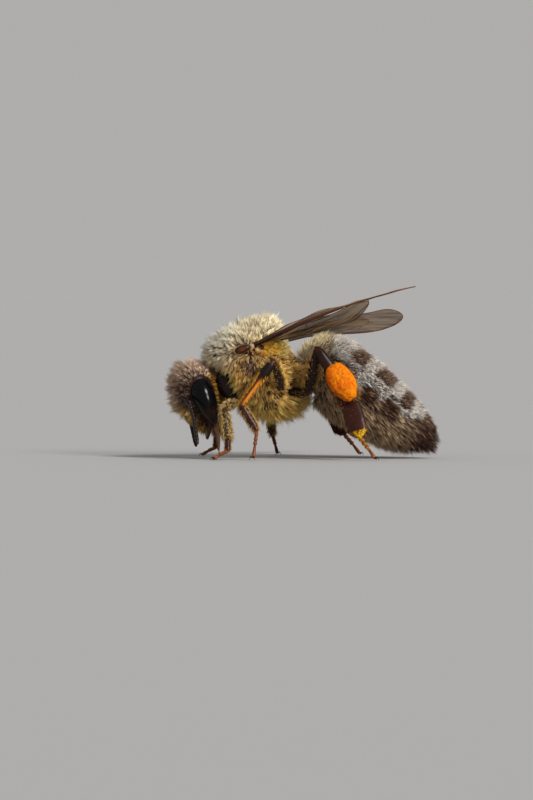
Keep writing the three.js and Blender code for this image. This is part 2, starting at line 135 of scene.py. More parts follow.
def make_object(name, verts, faces, tint, material, slot, replaced=(), uv=None):
    """An object from vertices in the bee's frame, arrays of triangles or quads, and a colour per vertex."""
    arrays = [np.asarray(f) for f in faces if len(f)]
    loops = np.concatenate([f.reshape(-1) for f in arrays]).astype(np.int32)
    sizes = np.concatenate([np.full(len(f), f.shape[1]) for f in arrays])
    starts = np.concatenate([[0], np.cumsum(sizes)[:-1]]).astype(np.int32)
    mesh = bpy.data.meshes.new(name)
    mesh.vertices.add(len(verts))
    mesh.vertices.foreach_set("co", (np.asarray(verts) / 1000 + SHIFT).astype(np.float32).ravel())
    mesh.loops.add(len(loops))
    mesh.loops.foreach_set("vertex_index", loops)
    mesh.polygons.add(len(starts))
    mesh.polygons.foreach_set("loop_start", starts)
    mesh.update(calc_edges=True)
    mesh.validate()
    mesh.polygons.foreach_set("use_smooth", np.full(len(mesh.polygons), True))
    colours = np.concatenate([tint, np.ones((len(tint), 1))], axis=1)
    layer = mesh.color_attributes.new("tint", "FLOAT_COLOR", "POINT")
    layer.data.foreach_set("color", colours.astype(np.float32).ravel())
    if uv is not None:
        layer = mesh.uv_layers.new(name="OFBake")
        layer.data.foreach_set("uv", uv[loops].astype(np.float32).ravel())
    obj = bpy.data.objects.new(name, mesh)
    bpy.context.scene.collection.objects.link(obj)
    mesh.materials.append(material)
    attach(obj, "root")
    if replaced:
        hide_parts(*replaced)


class Shape:
    """Vertices, faces and colours of one piece while it is put together."""

    def __init__(self):
        self.verts, self.quads, self.tris, self.tints = [], [], [], []
        self.count = 0

    def add(self, verts, quads, tris, tint):
        verts = np.asarray(verts, float).reshape(-1, 3)
        if len(quads):
            self.quads.append(np.asarray(quads) + self.count)
        if len(tris):
            self.tris.append(np.asarray(tris) + self.count)
        self.verts.append(verts)
        self.tints.append(np.broadcast_to(tint, verts.shape))
        self.count += len(verts)

    def grid(self, points, tint):
        """A tube of rings, points[ring, side], closed round each ring and at its ends by a middle point."""
        rings, sides = points.shape[:2]
        i, j = lattice(np.arange(rings - 1), np.arange(sides))
        k = (j + 1) % sides
        quads = np.stack([i * sides + j, i * sides + k, (i + 1) * sides + k, (i + 1) * sides + j], -1)
        ends = np.array([points[0].mean(0), points[-1].mean(0)])
        verts = np.concatenate([points.reshape(-1, 3), ends])
        colours = np.broadcast_to(tint, points.shape).reshape(-1, 3)
        colours = np.concatenate([colours, colours[[0, -1]]])
        side = np.arange(sides)
        after = (side + 1) % sides
        first, last = rings * sides, rings * sides + 1
        low = np.stack([np.full(sides, first), after, side], -1)
        base = (rings - 1) * sides
        high = np.stack([np.full(sides, last), base + side, base + after], -1)
        self.add(verts, quads.reshape(-1, 4), np.concatenate([low, high]), colours)

    def tube(self, path, radii, tint, sides=8, flat=(0.0, 1.0, 0.21)):
        """A round or oval bar along a path of points. radii is one per point, or (wide, thick) pairs whose
        wide side lies along flat."""
        path = np.asarray(path, float)
        radii = np.asarray(radii, float)
        if radii.ndim == 1:
            radii = np.stack([radii, radii], -1)
        along = unit(np.gradient(path, axis=0))
        guide = np.asarray(flat, float)
        wide = unit(guide - along * (along @ guide)[:, None])
        thick = np.cross(along, wide)
        angle = round_the_ring(sides)
        ring = (
            wide[:, None] * (radii[:, :1] * np.cos(angle))[..., None]
            + thick[:, None] * (radii[:, 1:] * np.sin(angle))[..., None]
        )
        if np.ndim(tint) == 2:
            tint = np.asarray(tint)[:, None]
        self.grid(path[:, None] + ring, tint)

    def ball(self, place, tint, rings=10, sides=16):
        """A closed ball whose unit-sphere points are moved by place."""
        self.grid(place(sphere_points(rings, sides)), tint)
        self.verts[-1][-2:] = place(np.array([[0, 0, -1.0], [0, 0, 1.0]]))

    def make(self, name, material, slot, replaced=()):
        faces = [np.concatenate(f) for f in (self.quads, self.tris) if f]
        make_object(name, np.concatenate(self.verts), faces, np.concatenate(self.tints), material, slot,
                    replaced)


def sphere_points(rings, sides):
    """Points of a unit sphere in rings from the bottom up, without its poles."""
    lat, lon = lattice(np.linspace(-np.pi / 2, np.pi / 2, rings + 2)[1:-1], round_the_ring(sides))
    return np.stack([np.cos(lat) * np.cos(lon), np.cos(lat) * np.sin(lon), np.sin(lat)], -1)


def ellipsoid(centre, radii):
    return lambda sphere: np.asarray(centre) + sphere * np.asarray(radii)


# ---- materials

BUMP_DEPTH = 0.00002  # m


def material(name, roughness, tint_noise=0.0, noise_scale=4000.0, bump=0.0, bump_scale=9000.0,
             cells=False, rough_noise=0.0, **sockets):
    """A Principled material coloured by the mesh's own tint, mottled and roughened by noise."""
    made = bpy.data.materials.new(name)
    made.use_nodes = True
    nodes, links = made.node_tree.nodes, made.node_tree.links
    shader = nodes["Principled BSDF"]
    shader.inputs["Roughness"].default_value = roughness
    for socket, value in sockets.items():
        shader.inputs[socket.replace("_", " ")].default_value = value
    tint = nodes.new("ShaderNodeAttribute")
    tint.attribute_name = "tint"
    place = nodes.new("ShaderNodeTexCoord")

    def texture(kind, scale):
        """A texture node in object space."""
        node = nodes.new(kind)
        node.inputs["Scale"].default_value = scale
        links.new(place.outputs["Object"], node.inputs["Vector"])
        return node

    def spread(fac, middle, reach):
        """Noise turned into values from middle - reach to middle + reach."""
        node = nodes.new("ShaderNodeMapRange")
        node.inputs["To Min"].default_value = middle - reach
        node.inputs["To Max"].default_value = middle + reach
        links.new(fac, node.inputs["Value"])
        return node.outputs["Result"]

    colour = tint.outputs["Color"]
    if tint_noise:
        mottle = texture("ShaderNodeTexNoise", noise_scale)
        mottle.inputs["Detail"].default_value = 3.0
        scale = nodes.new("ShaderNodeVectorMath")
        scale.operation = "SCALE"
        links.new(colour, scale.inputs[0])
        links.new(spread(mottle.outputs["Fac"], 1, tint_noise), scale.inputs["Scale"])
        colour = scale.outputs["Vector"]
    links.new(colour, shader.inputs["Base Color"])
    if rough_noise:
        patch = texture("ShaderNodeTexNoise", noise_scale / 2)
        links.new(spread(patch.outputs["Fac"], roughness, rough_noise), shader.inputs["Roughness"])
    if bump:
        relief = texture("ShaderNodeTexVoronoi" if cells else "ShaderNodeTexNoise", bump_scale)
        raised = nodes.new("ShaderNodeBump")
        raised.inputs["Strength"].default_value = bump
        raised.inputs["Distance"].default_value = BUMP_DEPTH
        links.new(relief.outputs["Distance" if cells else "Fac"], raised.inputs["Height"])
        links.new(raised.outputs["Normal"], shader.inputs["Normal"])
    return made


SKIN = material("skin", 0.45, tint_noise=0.35, noise_scale=3500, bump=0.5, bump_scale=16000,
                rough_noise=0.1, Specular_IOR_Level=0.15)
PLATE = material("plate", 0.25, tint_noise=0.3, noise_scale=2600, bump=0.16, bump_scale=12000,
                 rough_noise=0.05, Specular_IOR_Level=0.4)
SHELL = material("shell", 0.25, tint_noise=0.3, noise_scale=5000, bump=0.25, bump_scale=18000,
                 rough_noise=0.06, Specular_IOR_Level=0.18)
EYE = material("compound eye", 0.15, bump=0.06, bump_scale=38000, cells=True, Specular_IOR_Level=0.13)
FUR = material("fur", 0.5, Specular_IOR_Level=0.14)
POLLEN = material("pollen", 0.7, tint_noise=0.12, noise_scale=9000, bump=0.5, bump_scale=26000,
                  Specular_IOR_Level=0.12)
VEIN = material("wing vein", 0.36, tint_noise=0.25, noise_scale=6000, bump=0.3,
                Specular_IOR_Level=0.12)
MEMBRANE = material("wing membrane", 0.46, tint_noise=0.25, noise_scale=1800, bump=0.4,
                    bump_scale=3500, Alpha=0.68, Specular_IOR_Level=0.14)

BLACK_BROWN = srgb(22, 13, 10)
DARK_BROWN = srgb(44, 22, 13)
RED_BROWN = srgb(78, 34, 16)
ORANGE_BROWN = srgb(150, 82, 36)
GOLD = srgb(196, 148, 74)
WHITE_HAIR = srgb(222, 214, 204)
# the root colour of pale hair, darkened as painted shade deep in the coat
PALE_ROOT_IN_PAINTED_SHADE = srgb(54, 43, 38)


# ---- the body's form

PITCH = math.radians(20.5)
HEAD_UP = np.array([-math.sin(PITCH), 0, math.cos(PITCH)])
HEAD_FRONT = np.array([-math.cos(PITCH), 0, -math.sin(PITCH)])
HEAD_SIDE = np.array([0.0, 1.0, 0.0])
HEAD_CENTRE = np.array([-4.81, 0, 3.05])


def on_head(up, front, side):
    up, front, side = [v[..., None] for v in np.broadcast_arrays(*map(np.float64, (up, front, side)))]
    return HEAD_CENTRE + up * HEAD_UP + front * HEAD_FRONT + side * HEAD_SIDE


def to_head(p):
    d = p - HEAD_CENTRE
    return d @ HEAD_UP, d @ HEAD_FRONT, d @ HEAD_SIDE


class Ring:
    """A closed solid swept through rings. A point on it is at(t, turn): turn 0 is the bee's left, and a
    quarter turn is up."""

    def __init__(self, table, power=2.0):
        self.table = np.asarray(table, float)
        self.power = power

    def round(self, turn):
        c, s = np.cos(turn), np.sin(turn)
        k = (np.abs(c) ** self.power + np.abs(s) ** self.power) ** (-1 / self.power)
        return c * k, s * k

    def points(self, rings=60, sides=72, ends=0.03):
        return self.at(*lattice(np.linspace(ends, 1 - ends, rings), round_the_ring(sides)))

    def normal(self, t, turn):
        e = 1e-3
        a = self.at(np.minimum(t + e, 1), turn) - self.at(np.maximum(t - e, 0), turn)
        b = self.at(t, turn + e) - self.at(t, turn - e)
        n = unit(np.cross(a, b))
        out = np.sum(n * (self.at(t, turn) - self.at(t, turn + np.pi)), -1, keepdims=True)
        return np.where(out < 0, -n, n)

    def row_at(self, value):
        """The table's row where its first column has a value."""
        t = np.interp(value, self.table[:, 0], np.linspace(0, 1, len(self.table)))
        return np.moveaxis(catmull(self.table, t), -1, 0)

    def scatter(self, count, density, rings=120, sides=120):
        """Random places on the surface, as many per area as density(t, turn, point, normal) asks for."""
        te, ue = np.linspace(0.004, 0.996, rings + 1), np.linspace(0, TAU, sides + 1)
        corner = self.at(*lattice(te, ue))
        across = corner[1:, 1:] - corner[:-1, :-1]
        other = corner[1:, :-1] - corner[:-1, 1:]
        area = np.linalg.norm(np.cross(across, other), axis=-1) / 2
        t, turn = lattice((te[1:] + te[:-1]) / 2, (ue[1:] + ue[:-1]) / 2)
        weight = area * density(t, turn, self.at(t, turn), self.normal(t, turn))
        pick = RNG.choice(weight.size, count, p=(weight / weight.sum()).ravel())
        i, j = np.unravel_index(pick, weight.shape)
        t = te[i] + RNG.random(count) * (te[1] - te[0])
        turn = ue[j] + RNG.random(count) * (ue[1] - ue[0])
        return t, turn, self.at(t, turn), self.normal(t, turn)


class Hull(Ring):
    """Rows are [x, top, bottom, half width]."""

    def at(self, t, turn):
        x, top, bottom, half = np.moveaxis(catmull(self.table, t), -1, 0)
        c, s = self.round(turn)
        return np.stack([x, -c * half, (top + bottom) / 2 + s * (top - bottom) / 2], -1)

    def depth(self, p):
        """Below 1 inside the solid, above 1 outside."""
        x = p[..., 0]
        _, top, bottom, half = self.row_at(x)
        up = (p[..., 2] - (top + bottom) / 2) / ((top - bottom) / 2)
        out = (x < self.table[0, 0]) | (x > self.table[-1, 0])
        return np.where(out, 9.0, np.hypot(up, p[..., 1] / half))


class HeadHull(Ring):
    """Rows are [up, front, back, half width] on the head's own axes. A quarter turn is the face."""

    def at(self, t, turn):
        up, front, back, half = np.moveaxis(catmull(self.table, t), -1, 0)
        c, s = self.round(turn)
        return on_head(up, (front + back) / 2 + s * (front - back) / 2, -c * half)

    def depth(self, p):
        up, front, side = to_head(p)
        _, ahead, back, half = self.row_at(up)
        inside = np.hypot((front - (ahead + back) / 2) / ((ahead - back) / 2), side / half)
        out = (up < self.table[0, 0]) | (up > self.table[-1, 0])
        return np.where(out, 9.0, inside)


class Bent(Ring):
    """Rows are [x, z, half height, half width, depth of the coat]: rings square to a bending centre line."""

    def at(self, t, turn, lift=0.0):
        e = 1e-3
        row = catmull(self.table, t)
        ahead = catmull(self.table[:, :2], np.minimum(t + e, 1))
        line = unit(ahead - catmull(self.table[:, :2], np.maximum(t - e, 0)))
        c, s = self.round(turn)
        high = s * (row[..., 2] - row[..., 4] + lift)
        wide = -c * (row[..., 3] - row[..., 4] + lift)
        return np.stack([row[..., 0] - line[..., 1] * high, wide, row[..., 1] + line[..., 0] * high], -1)

    def aft(self, t, turn):
        """The way towards the tail along the surface."""
        return unit(self.at(np.minimum(t + 0.01, 1), turn) - self.at(t, turn))


HEAD = HeadHull([
    [-1.74, 0.16, -0.14, 0.22],
    [-1.6, 0.4, -0.36, 0.52],
    [-1.25, 0.68, -0.6, 0.86],
    [-0.8, 0.84, -0.78, 1.1],
    [-0.3, 0.93, -0.92, 1.33],
    [0.2, 0.94, -1.0, 1.48],
    [0.6, 0.87, -0.94, 1.5],
    [0.95, 0.7, -0.74, 1.38],
    [1.2, 0.48, -0.46, 1.1],
    [1.38, 0.16, -0.12, 0.5],
], power=2.4)
THORAX = Hull([
    [-4.34, 5.02, 4.9, 0.08],
    [-4.12, 5.46, 4.42, 0.82],
    [-3.65, 5.84, 3.95, 1.3],
    [-3.1, 6.07, 3.2, 1.6],
    [-2.5, 6.24, 2.6, 1.78],
    [-1.9, 6.33, 2.38, 1.84],
    [-1.3, 6.28, 2.32, 1.78],
    [-0.82, 5.84, 2.42, 1.5],
    [-0.42, 4.98, 2.66, 1.12],
    [-0.1, 4.4, 3.15, 0.74],
    [0.08, 4.2, 3.65, 0.35],
])
PROTHORAX = Hull([
    [-4.1, 4.05, 3.75, 0.2],
    [-3.8, 4.36, 3.4, 0.5],
    [-3.4, 4.55, 3.05, 0.68],
    [-2.9, 4.5, 2.8, 0.7],
    [-2.6, 4.3, 3.0, 0.4],
])
PETIOLE = Hull([
    [-0.2, 4.4, 3.8, 0.3],
    [0.1, 4.32, 3.85, 0.3],
    [0.4, 4.35, 3.8, 0.34],
    [0.7, 4.6, 3.6, 0.5],
])
ABDOMEN = Bent([
    [0.25, 4.15, 0.8, 0.8, 0.4],
    [0.68, 4.26, 1.54, 1.5, 0.42],
    [1.35, 4.14, 1.9, 2.0, 0.38],
    [2.22, 3.54, 2.02, 2.22, 0.34],
    [3.14, 2.86, 1.88, 2.22, 0.27],
    [4.1, 2.14, 1.68, 2.02, 0.22],
    [4.95, 1.6, 1.42, 1.68, 0.2],
    [5.7, 1.12, 1.0, 1.16, 0.18],
    [6.16, 0.72, 0.52, 0.66, 0.14],
    [6.38, 0.46, 0.2, 0.28, 0.1],
])
# The middle of the golden hollow below each wing's root, and of the thin-haired patch behind each fore leg,
# as (x, z), and their radii. The hollow's bright gold is partly its hair's own colour and partly painted
# light, brightened against the shadow of the wings
HOLLOW_GOLD_AND_PAINTED_LIGHT = ((-1.45, 5.24), (0.72, 0.36))
BALD_SIDE = ((-2.4, 4.5), (0.36, 0.36))


def in_patch(p, patch):
    """1 inside a patch of the body's side, falling to 0 around it."""
    (x, z), (long, high) = patch
    return np.exp(-(((p[..., 0] - x) / long) ** 2 + ((p[..., 2] - z) / high) ** 2) ** 2)
SEGMENT_ENDS = [0.2, 0.36, 0.497, 0.66, 0.81, 1.0]  # shares of the abdomen's length


# ---- trunk and head

SKIN_VOXEL = 0.05
SKIN_RELAX_STEPS = 4
# Balls that swell the trunk, as (middle, radii): the scutellum, the propodeum, then on each side the one
# under the wing and the one that carries the middle hip
SWELLINGS = [
    ((-1.06, 0, 5.74), (0.34, 0.8, 0.2)),
    ((-0.5, 0, 4.1), (0.5, 1.05, 0.9)),
    ((-2.3, -1.2, 5.2), (0.6, 0.65, 0.45)),
    ((-1.55, -0.9, 2.75), (0.6, 0.65, 0.55)),
    ((-2.3, 1.2, 5.2), (0.6, 0.65, 0.45)),
    ((-1.55, 0.9, 2.75), (0.6, 0.65, 0.55)),
]


def remeshed(shape):
    """The outer surface of overlapping closed pieces: its vertices, and its quads and triangles."""
    mesh = bpy.data.meshes.new("union")
    faces = [f for part in shape.quads + shape.tris for f in part.tolist()]
    mesh.from_pydata(np.concatenate(shape.verts).tolist(), [], faces)
    obj = bpy.data.objects.new("union", mesh)
    bpy.context.scene.collection.objects.link(obj)
    remesh = obj.modifiers.new("remesh", "REMESH")
    remesh.mode = "VOXEL"
    remesh.voxel_size = SKIN_VOXEL
    relax = obj.modifiers.new("relax", "SMOOTH")
    relax.factor = 0.5
    relax.iterations = SKIN_RELAX_STEPS
    bpy.context.view_layer.update()
    done = obj.evaluated_get(bpy.context.evaluated_depsgraph_get()).to_mesh()
    co = np.zeros(len(done.vertices) * 3, np.float32)
    done.vertices.foreach_get("co", co)
    by_size = [np.array([p.vertices[:] for p in done.polygons if len(p.vertices) == n]) for n in (4, 3)]
    obj.to_mesh_clear()
    bpy.data.objects.remove(obj)
    bpy.data.meshes.remove(mesh)
    return co.reshape(-1, 3).astype(float), by_size


def head_ball(up, front, high, deep, wide):
    """A ball on the head's middle line, by its place and its radii on the head's own axes."""
    return lambda s: on_head(up + s[..., 2] * high, front + s[..., 0] * deep, s[..., 1] * wide)


def build_skin():
    shape = Shape()
    for part in (HEAD, THORAX, PROTHORAX, PETIOLE):
        shape.grid(part.points(), DARK_BROWN)
    # the abdomen's core, just below its plates
    shape.grid(ABDOMEN.at(*lattice(np.linspace(0.02, 0.96, 60), round_the_ring(72)), -0.16), DARK_BROWN)
    for middle, radii in SWELLINGS:
        shape.ball(ellipsoid(middle, radii), DARK_BROWN, 14, 24)
    # clypeus
    shape.ball(head_ball(-0.82, 0.68, 0.56, 0.36, 0.56), DARK_BROWN, 14, 24)
    verts, faces = remeshed(shape)
    colours = layered(
        BLACK_BROWN,
        (DARK_BROWN, noise(verts, 1.6)),
        # the hollow under each wing: golden, and brightened as painted light against the wings' shadow
        (srgb(222, 144, 34), in_patch(verts, HOLLOW_GOLD_AND_PAINTED_LIGHT)),
        (srgb(84, 58, 46), 0.8 * in_patch(verts, BALD_SIDE)),
    )
    hidden = ["head", "thorax", "prothorax", "petiole"]
    make_object("body_skin", verts, faces, colours, SKIN, "shell", hidden)


# Dark wedges across the back, (from, to, lower end), and dark patches lower down on the flank, (from, to):
# shares of the abdomen's length, with the lower end as the sine of its angle up from the side
WEDGES = ((0.272, 0.364, 0.62), (0.426, 0.512, 0.66), (0.574, 0.658, 0.52))
PATCHES = ((0.4, 0.486), (0.512, 0.608))
# Where the pale coat ends at the flank: it reaches down between the dark patches
PALE_EDGE = (
    (0.2, 0.34, 0.365, 0.395, 0.42, 0.475, 0.49, 0.508, 0.525, 0.595, 0.62, 0.655, 0.69, 0.74),
    (0.42, 0.42, 0.16, 0.16, 0.42, 0.42, 0.2, 0.2, 0.42, 0.4, 0.18, 0.18, 0.42, 0.64),
)


def between(t, a, b, soft=0.008):
    return step(a - soft, a + soft, t) * step(b + soft, b - soft, t)


def band(t, up, wobble=0.0):
    """How pale the abdomen's coat is at a share of its length. Dark wedges cut the pale back and close
    towards the flank; up is 1 on the back and 0 at the side."""
    t = t + 0.02 + wobble
    up_here = up + 3 * wobble
    narrow = 0.014 * step(0.8, 1.0, up)
    dark = sum(between(t, a + narrow, b) * step(low - 0.05, low + 0.04, up_here) for a, b, low in WEDGES)
    edge = np.interp(t, *PALE_EDGE)
    ends = step(0.195, 0.215, t) * step(0.752, 0.736, t)
    return ends * (1 - dark) * step(edge - 0.05, edge + 0.07, up_here)


def flank_dark(t, up):
    """1 where the hair of the flank and the tip is mostly dark."""
    dark = sum(between(t, a, b, 0.014) for a, b in PATCHES) * step(-0.25, -0.05, up)
    return np.clip(dark + step(0.72, 0.78, t) + 0.45 * step(0.64, 0.72, t), 0, 1)


def build_abdomen():
    """Six overlapping plates, each with a thin, paler hind rim over the front of the next."""
    share = np.linspace(0, 1, 26)
    for i, end in enumerate(SEGMENT_ENDS):
        start = SEGMENT_ENDS[i - 1] - 0.02 if i else 0.02
        last = i == len(SEGMENT_ENDS) - 1
        t = start + share * (min(end, 0.985) - start)
        lift = -0.03 * (1 - share) + (0.0 if last else 0.035) * share ** 2
        # share of the abdomen's length, height over the form, share of the plate
        rows = np.stack([t, lift, share], -1)
        if not last:
            # the rim turns in
            turned = [[0.004, -0.012, 0], [0.003, -0.04, 0], [-0.015, -0.09, 0]]
            rows = np.concatenate([rows, rows[-1] + turned])
        place, turn = lattice(rows[:, 0], round_the_ring(120))
        points = ABDOMEN.at(place, turn, rows[:, 1:2])
        up = np.sin(turn)
        shape = Shape()
        shape.grid(points, layered(
            BLACK_BROWN,
            (DARK_BROWN, noise(points, 1.1, 3)),
            (RED_BROWN, 0.35 * step(0.9, 1.0, rows[:, 2:])),
            (srgb(96, 84, 74), 0.6 * band(place, up) * step(0.6, 0.75, up)),
            (RED_BROWN, 0.25 * step(0.1, -0.7, up)),
            (srgb(50, 22, 12), 0.8 * flank_dark(place, up) * step(0.5, 0.3, up)),
        ))
        shape.make(f"abdomen_plate_{i + 1}", PLATE, "shell", [f"abdomen_{i + 1}"])


# The compound eye on the head's axes: its middle, its radii, how much deeper it gets upwards, how far it
# leans and how far its ends wrap inwards
EYE_UP, EYE_FRONT, EYE_SIDE = -0.41, -0.22, 1.34
EYE_LONG, EYE_DEEP, EYE_BULGE = 1.24, 0.51, 0.58
EYE_TAPER, EYE_LEAN, EYE_WRAP = 0.34, 0.05, 0.16


def on_eye(sphere, side):
    """The eye's bean: up is its long axis, broader at the top, wrapped round the head's side."""
    out, deep, up = sphere[..., 0], sphere[..., 1], sphere[..., 2]
    return on_head(
        EYE_UP + up * EYE_LONG,
        EYE_FRONT + deep * EYE_DEEP * (1 + EYE_TAPER * up) + EYE_LEAN * up,
        side * (EYE_SIDE - EYE_WRAP * up * up + out * EYE_BULGE),
    )


def eye_depth(p):
    """Below 1 inside an eye, above 1 outside."""
    up, front, side = to_head(p)
    u = (up - EYE_UP) / EYE_LONG
    f = (front - EYE_FRONT - EYE_LEAN * u) / (EYE_DEEP * (1 + EYE_TAPER * np.clip(u, -1, 1)))
    s = (np.abs(side) - EYE_SIDE + EYE_WRAP * u * u) / EYE_BULGE
    return np.sqrt(u * u + f * f + s * s)


def build_eyes():
    rings, sides = 64, 96
    up = np.linspace(-np.pi / 2, np.pi / 2, rings + 2)[1:-1]
    tint = mix(srgb(38, 20, 14), srgb(5, 5, 7), step(-0.7, -0.1, np.sin(up)))[:, None]
    for name, side in SIDES:
        shape = Shape()
        shape.ball(lambda s: on_eye(s, side), tint, rings, sides)
        shape.make(f"eye_{name}_compound", EYE, "eye", [f"eye_{name}"])
    shape = Shape()
    for side, up, front in ((0, 1.27, 0.42), (-0.24, 1.3, 0.16), (0.24, 1.3, 0.16)):
        shape.ball(ellipsoid(on_head(up, front, side), 0.1), srgb(18, 14, 14))
    shape.make("ocelli", EYE, "eye")


# Socket, elbow, bend and tip
ANTENNAE = {
    "left": [(-5.72, -0.3, 3.02), (-5.2, -1.85, 2.66), (-5.02, -2.6, 1.9), (-4.84, -3.3, 0.76)],
    "right": [(-5.72, 0.3, 3.02), (-5.35, 1.85, 2.7), (-5.27, 2.35, 1.85), (-4.97, 2.6, 0.5)],
}


def build_antennae():
    for name, joints in ANTENNAE.items():
        socket, elbow, bend, tip = map(np.array, joints)
        shape = Shape()
        t = np.linspace(0, 1, 12)
        bow = np.sin(np.pi * t[:, None]) * np.array([[-0.12, 0, 0.1]])
        girth = np.interp(t, [0, 0.06, 0.12, 0.5, 0.94, 1], [0.075, 0.105, 0.075, 0.1, 0.115, 0.07])
        shape.tube(socket + t[:, None] * (elbow - socket) + bow, girth, BLACK_BROWN, 14)
        shape.make(f"antenna_{name}_scape_shell", SHELL, "shell", [f"antenna_{name}_scape"])
        # a stalk, then ten beads that overlap a little
        shape = Shape()
        middle = elbow * 0.5 + bend * 0.5 + [-0.03, 0, 0.05]
        line = catmull([elbow, middle, bend, bend * 0.5 + tip * 0.5, tip], np.linspace(0, 1, 160))
        run = np.concatenate([[0], np.cumsum(np.linalg.norm(np.diff(line, axis=0), axis=1))])
        edges = np.concatenate([[0, 0.18], np.linspace(0.2, run[-1], 11)])
        t = np.linspace(0, 1, 9)
        bead = np.interp(t, [0, 0.1, 0.5, 0.88, 1], [0.066, 0.092, 0.1, 0.104, 0.07])
        shade = mix(srgb(34, 24, 19), BLACK_BROWN, np.linspace(0.9, 0.1, 9) ** 2)
        for k, (a, b) in enumerate(zip(edges[:-1], edges[1:])):
            s = np.linspace(a - 0.02, b + 0.015, 9)
            path = np.stack([np.interp(s, run, line[:, c]) for c in range(3)], -1)
            taper = 0.8 if k < 2 else 1.0
            end = np.linspace(1, 0.55, 9) if k == len(edges) - 2 else 1
            shape.tube(path, bead * taper * end, shade, 14)
        shape.make(f"antenna_{name}_beads", SHELL, "shell", [f"antenna_{name}_flagellum"])


# Rows are [up, front and outwards on the head's axes, half width, half thickness]
MANDIBLE = np.array([
    [-1.3, -0.12, 0.8, 0.16, 0.12],
    [-1.5, -0.02, 0.82, 0.2, 0.12],
    [-1.7, 0.1, 0.7, 0.16, 0.1],
    [-1.86, 0.22, 0.5, 0.2, 0.08],
    [-1.98, 0.33, 0.3, 0.21, 0.06],
    [-2.04, 0.4, 0.16, 0.08, 0.03],
])
TONGUE = ((-4.12, 0, 1.55), (-3.86, 0, 0.16))
# Two blades, two feelers and the hairy glossa between them: (side, share of the length, radius, colour)
TONGUE_PARTS = (
    (-0.13, 0.84, 0.13, srgb(92, 66, 46)),
    (0.13, 0.84, 0.13, srgb(92, 66, 46)),
    (-0.07, 0.95, 0.05, srgb(120, 86, 56)),
    (0.07, 0.95, 0.05, srgb(120, 86, 56)),
    (0.0, 1.0, 0.075, srgb(120, 98, 80)),
)


def build_mouth():
    share = np.linspace(0, 1, 20)
    girth = np.stack([np.interp(share, np.linspace(0, 1, 6), MANDIBLE[:, c]) for c in (3, 4)], -1)
    for name, side in SIDES:
        shape = Shape()
        path = on_head(*catmull(MANDIBLE[:, :3] * [1, 1, side], share).T)
        colour = mix(DARK_BROWN, RED_BROWN, share)
        shape.tube(path, girth, colour, 14, flat=HEAD_UP - HEAD_FRONT * 0.3)
        shape.make(f"mandible_{name}_jaw", SHELL, "shell", [f"mandible_{name}"])
    shape = Shape()
    # labrum
    shape.ball(head_ball(-1.62, 0.42, 0.2, 0.1, 0.42), DARK_BROWN, 12, 20)
    root, tip = map(np.array, TONGUE)
    t = np.linspace(0, 1, 16)
    for y, reach, radius, colour in TONGUE_PARTS:
        path = root + (tip - root) * (t * reach)[:, None]
        path[:, 1] += y * (1 - 0.6 * t)
        path[:, 0] += 0.1 * np.sin(np.pi * t)
        shape.tube(path, radius * np.interp(t, [0, 0.2, 0.7, 1], [1.1, 1, 0.7, 0.25]), colour, 12)
    shape.make("tongue", SHELL, "shell", ["proboscis"])


# ---- legs

# The hip, then the far ends of coxa, femur, tibia, basitarsus and foot
LEGS = {
    "fore_left": [(-3.72, -0.86, 4.05), (-3.1, -1.06, 2.68), (-3.57, -2.75, 2.33), (-3.42, -3.05, 1.0),
                  (-3.42, -3.35, 0.42), (-4.12, -3.76, 0.07)],
    "mid_left": [(-1.75, -0.85, 2.55), (-0.86, -1.62, 3.16), (-1.26, -3.0, 4.68), (-2.8, -3.2, 2.6),
                 (-2.05, -3.36, 1.38), (-2.22, -3.74, 0.07)],
    "hind_left": [(-0.5, -1.02, 3.08), (0.36, -1.5, 3.15), (0.8, -2.96, 5.3), (2.33, -3.28, 2.76),
                  (2.74, -4.1, 1.12), (3.53, -4.53, 0.07)],
    "fore_right": [(-3.72, 0.86, 4.05), (-3.1, 1.06, 2.68), (-3.85, 2.66, 2.4), (-4.0, 3.05, 1.1),
                   (-4.02, 3.3, 0.44), (-4.72, 3.75, 0.07)],
    "mid_right": [(-1.75, 0.85, 2.55), (-0.86, 1.62, 3.1), (-0.95, 3.2, 4.4), (-1.5, 4.15, 2.38),
                  (-1.3, 4.55, 1.0), (-1.06, 5.24, 0.07)],
    "hind_right": [(-0.5, 1.02, 3.08), (0.3, 1.5, 3.15), (0.4, 3.0, 5.22), (1.6, 3.4, 2.62),
                   (2.15, 4.25, 1.05), (2.95, 4.8, 0.07)],
}
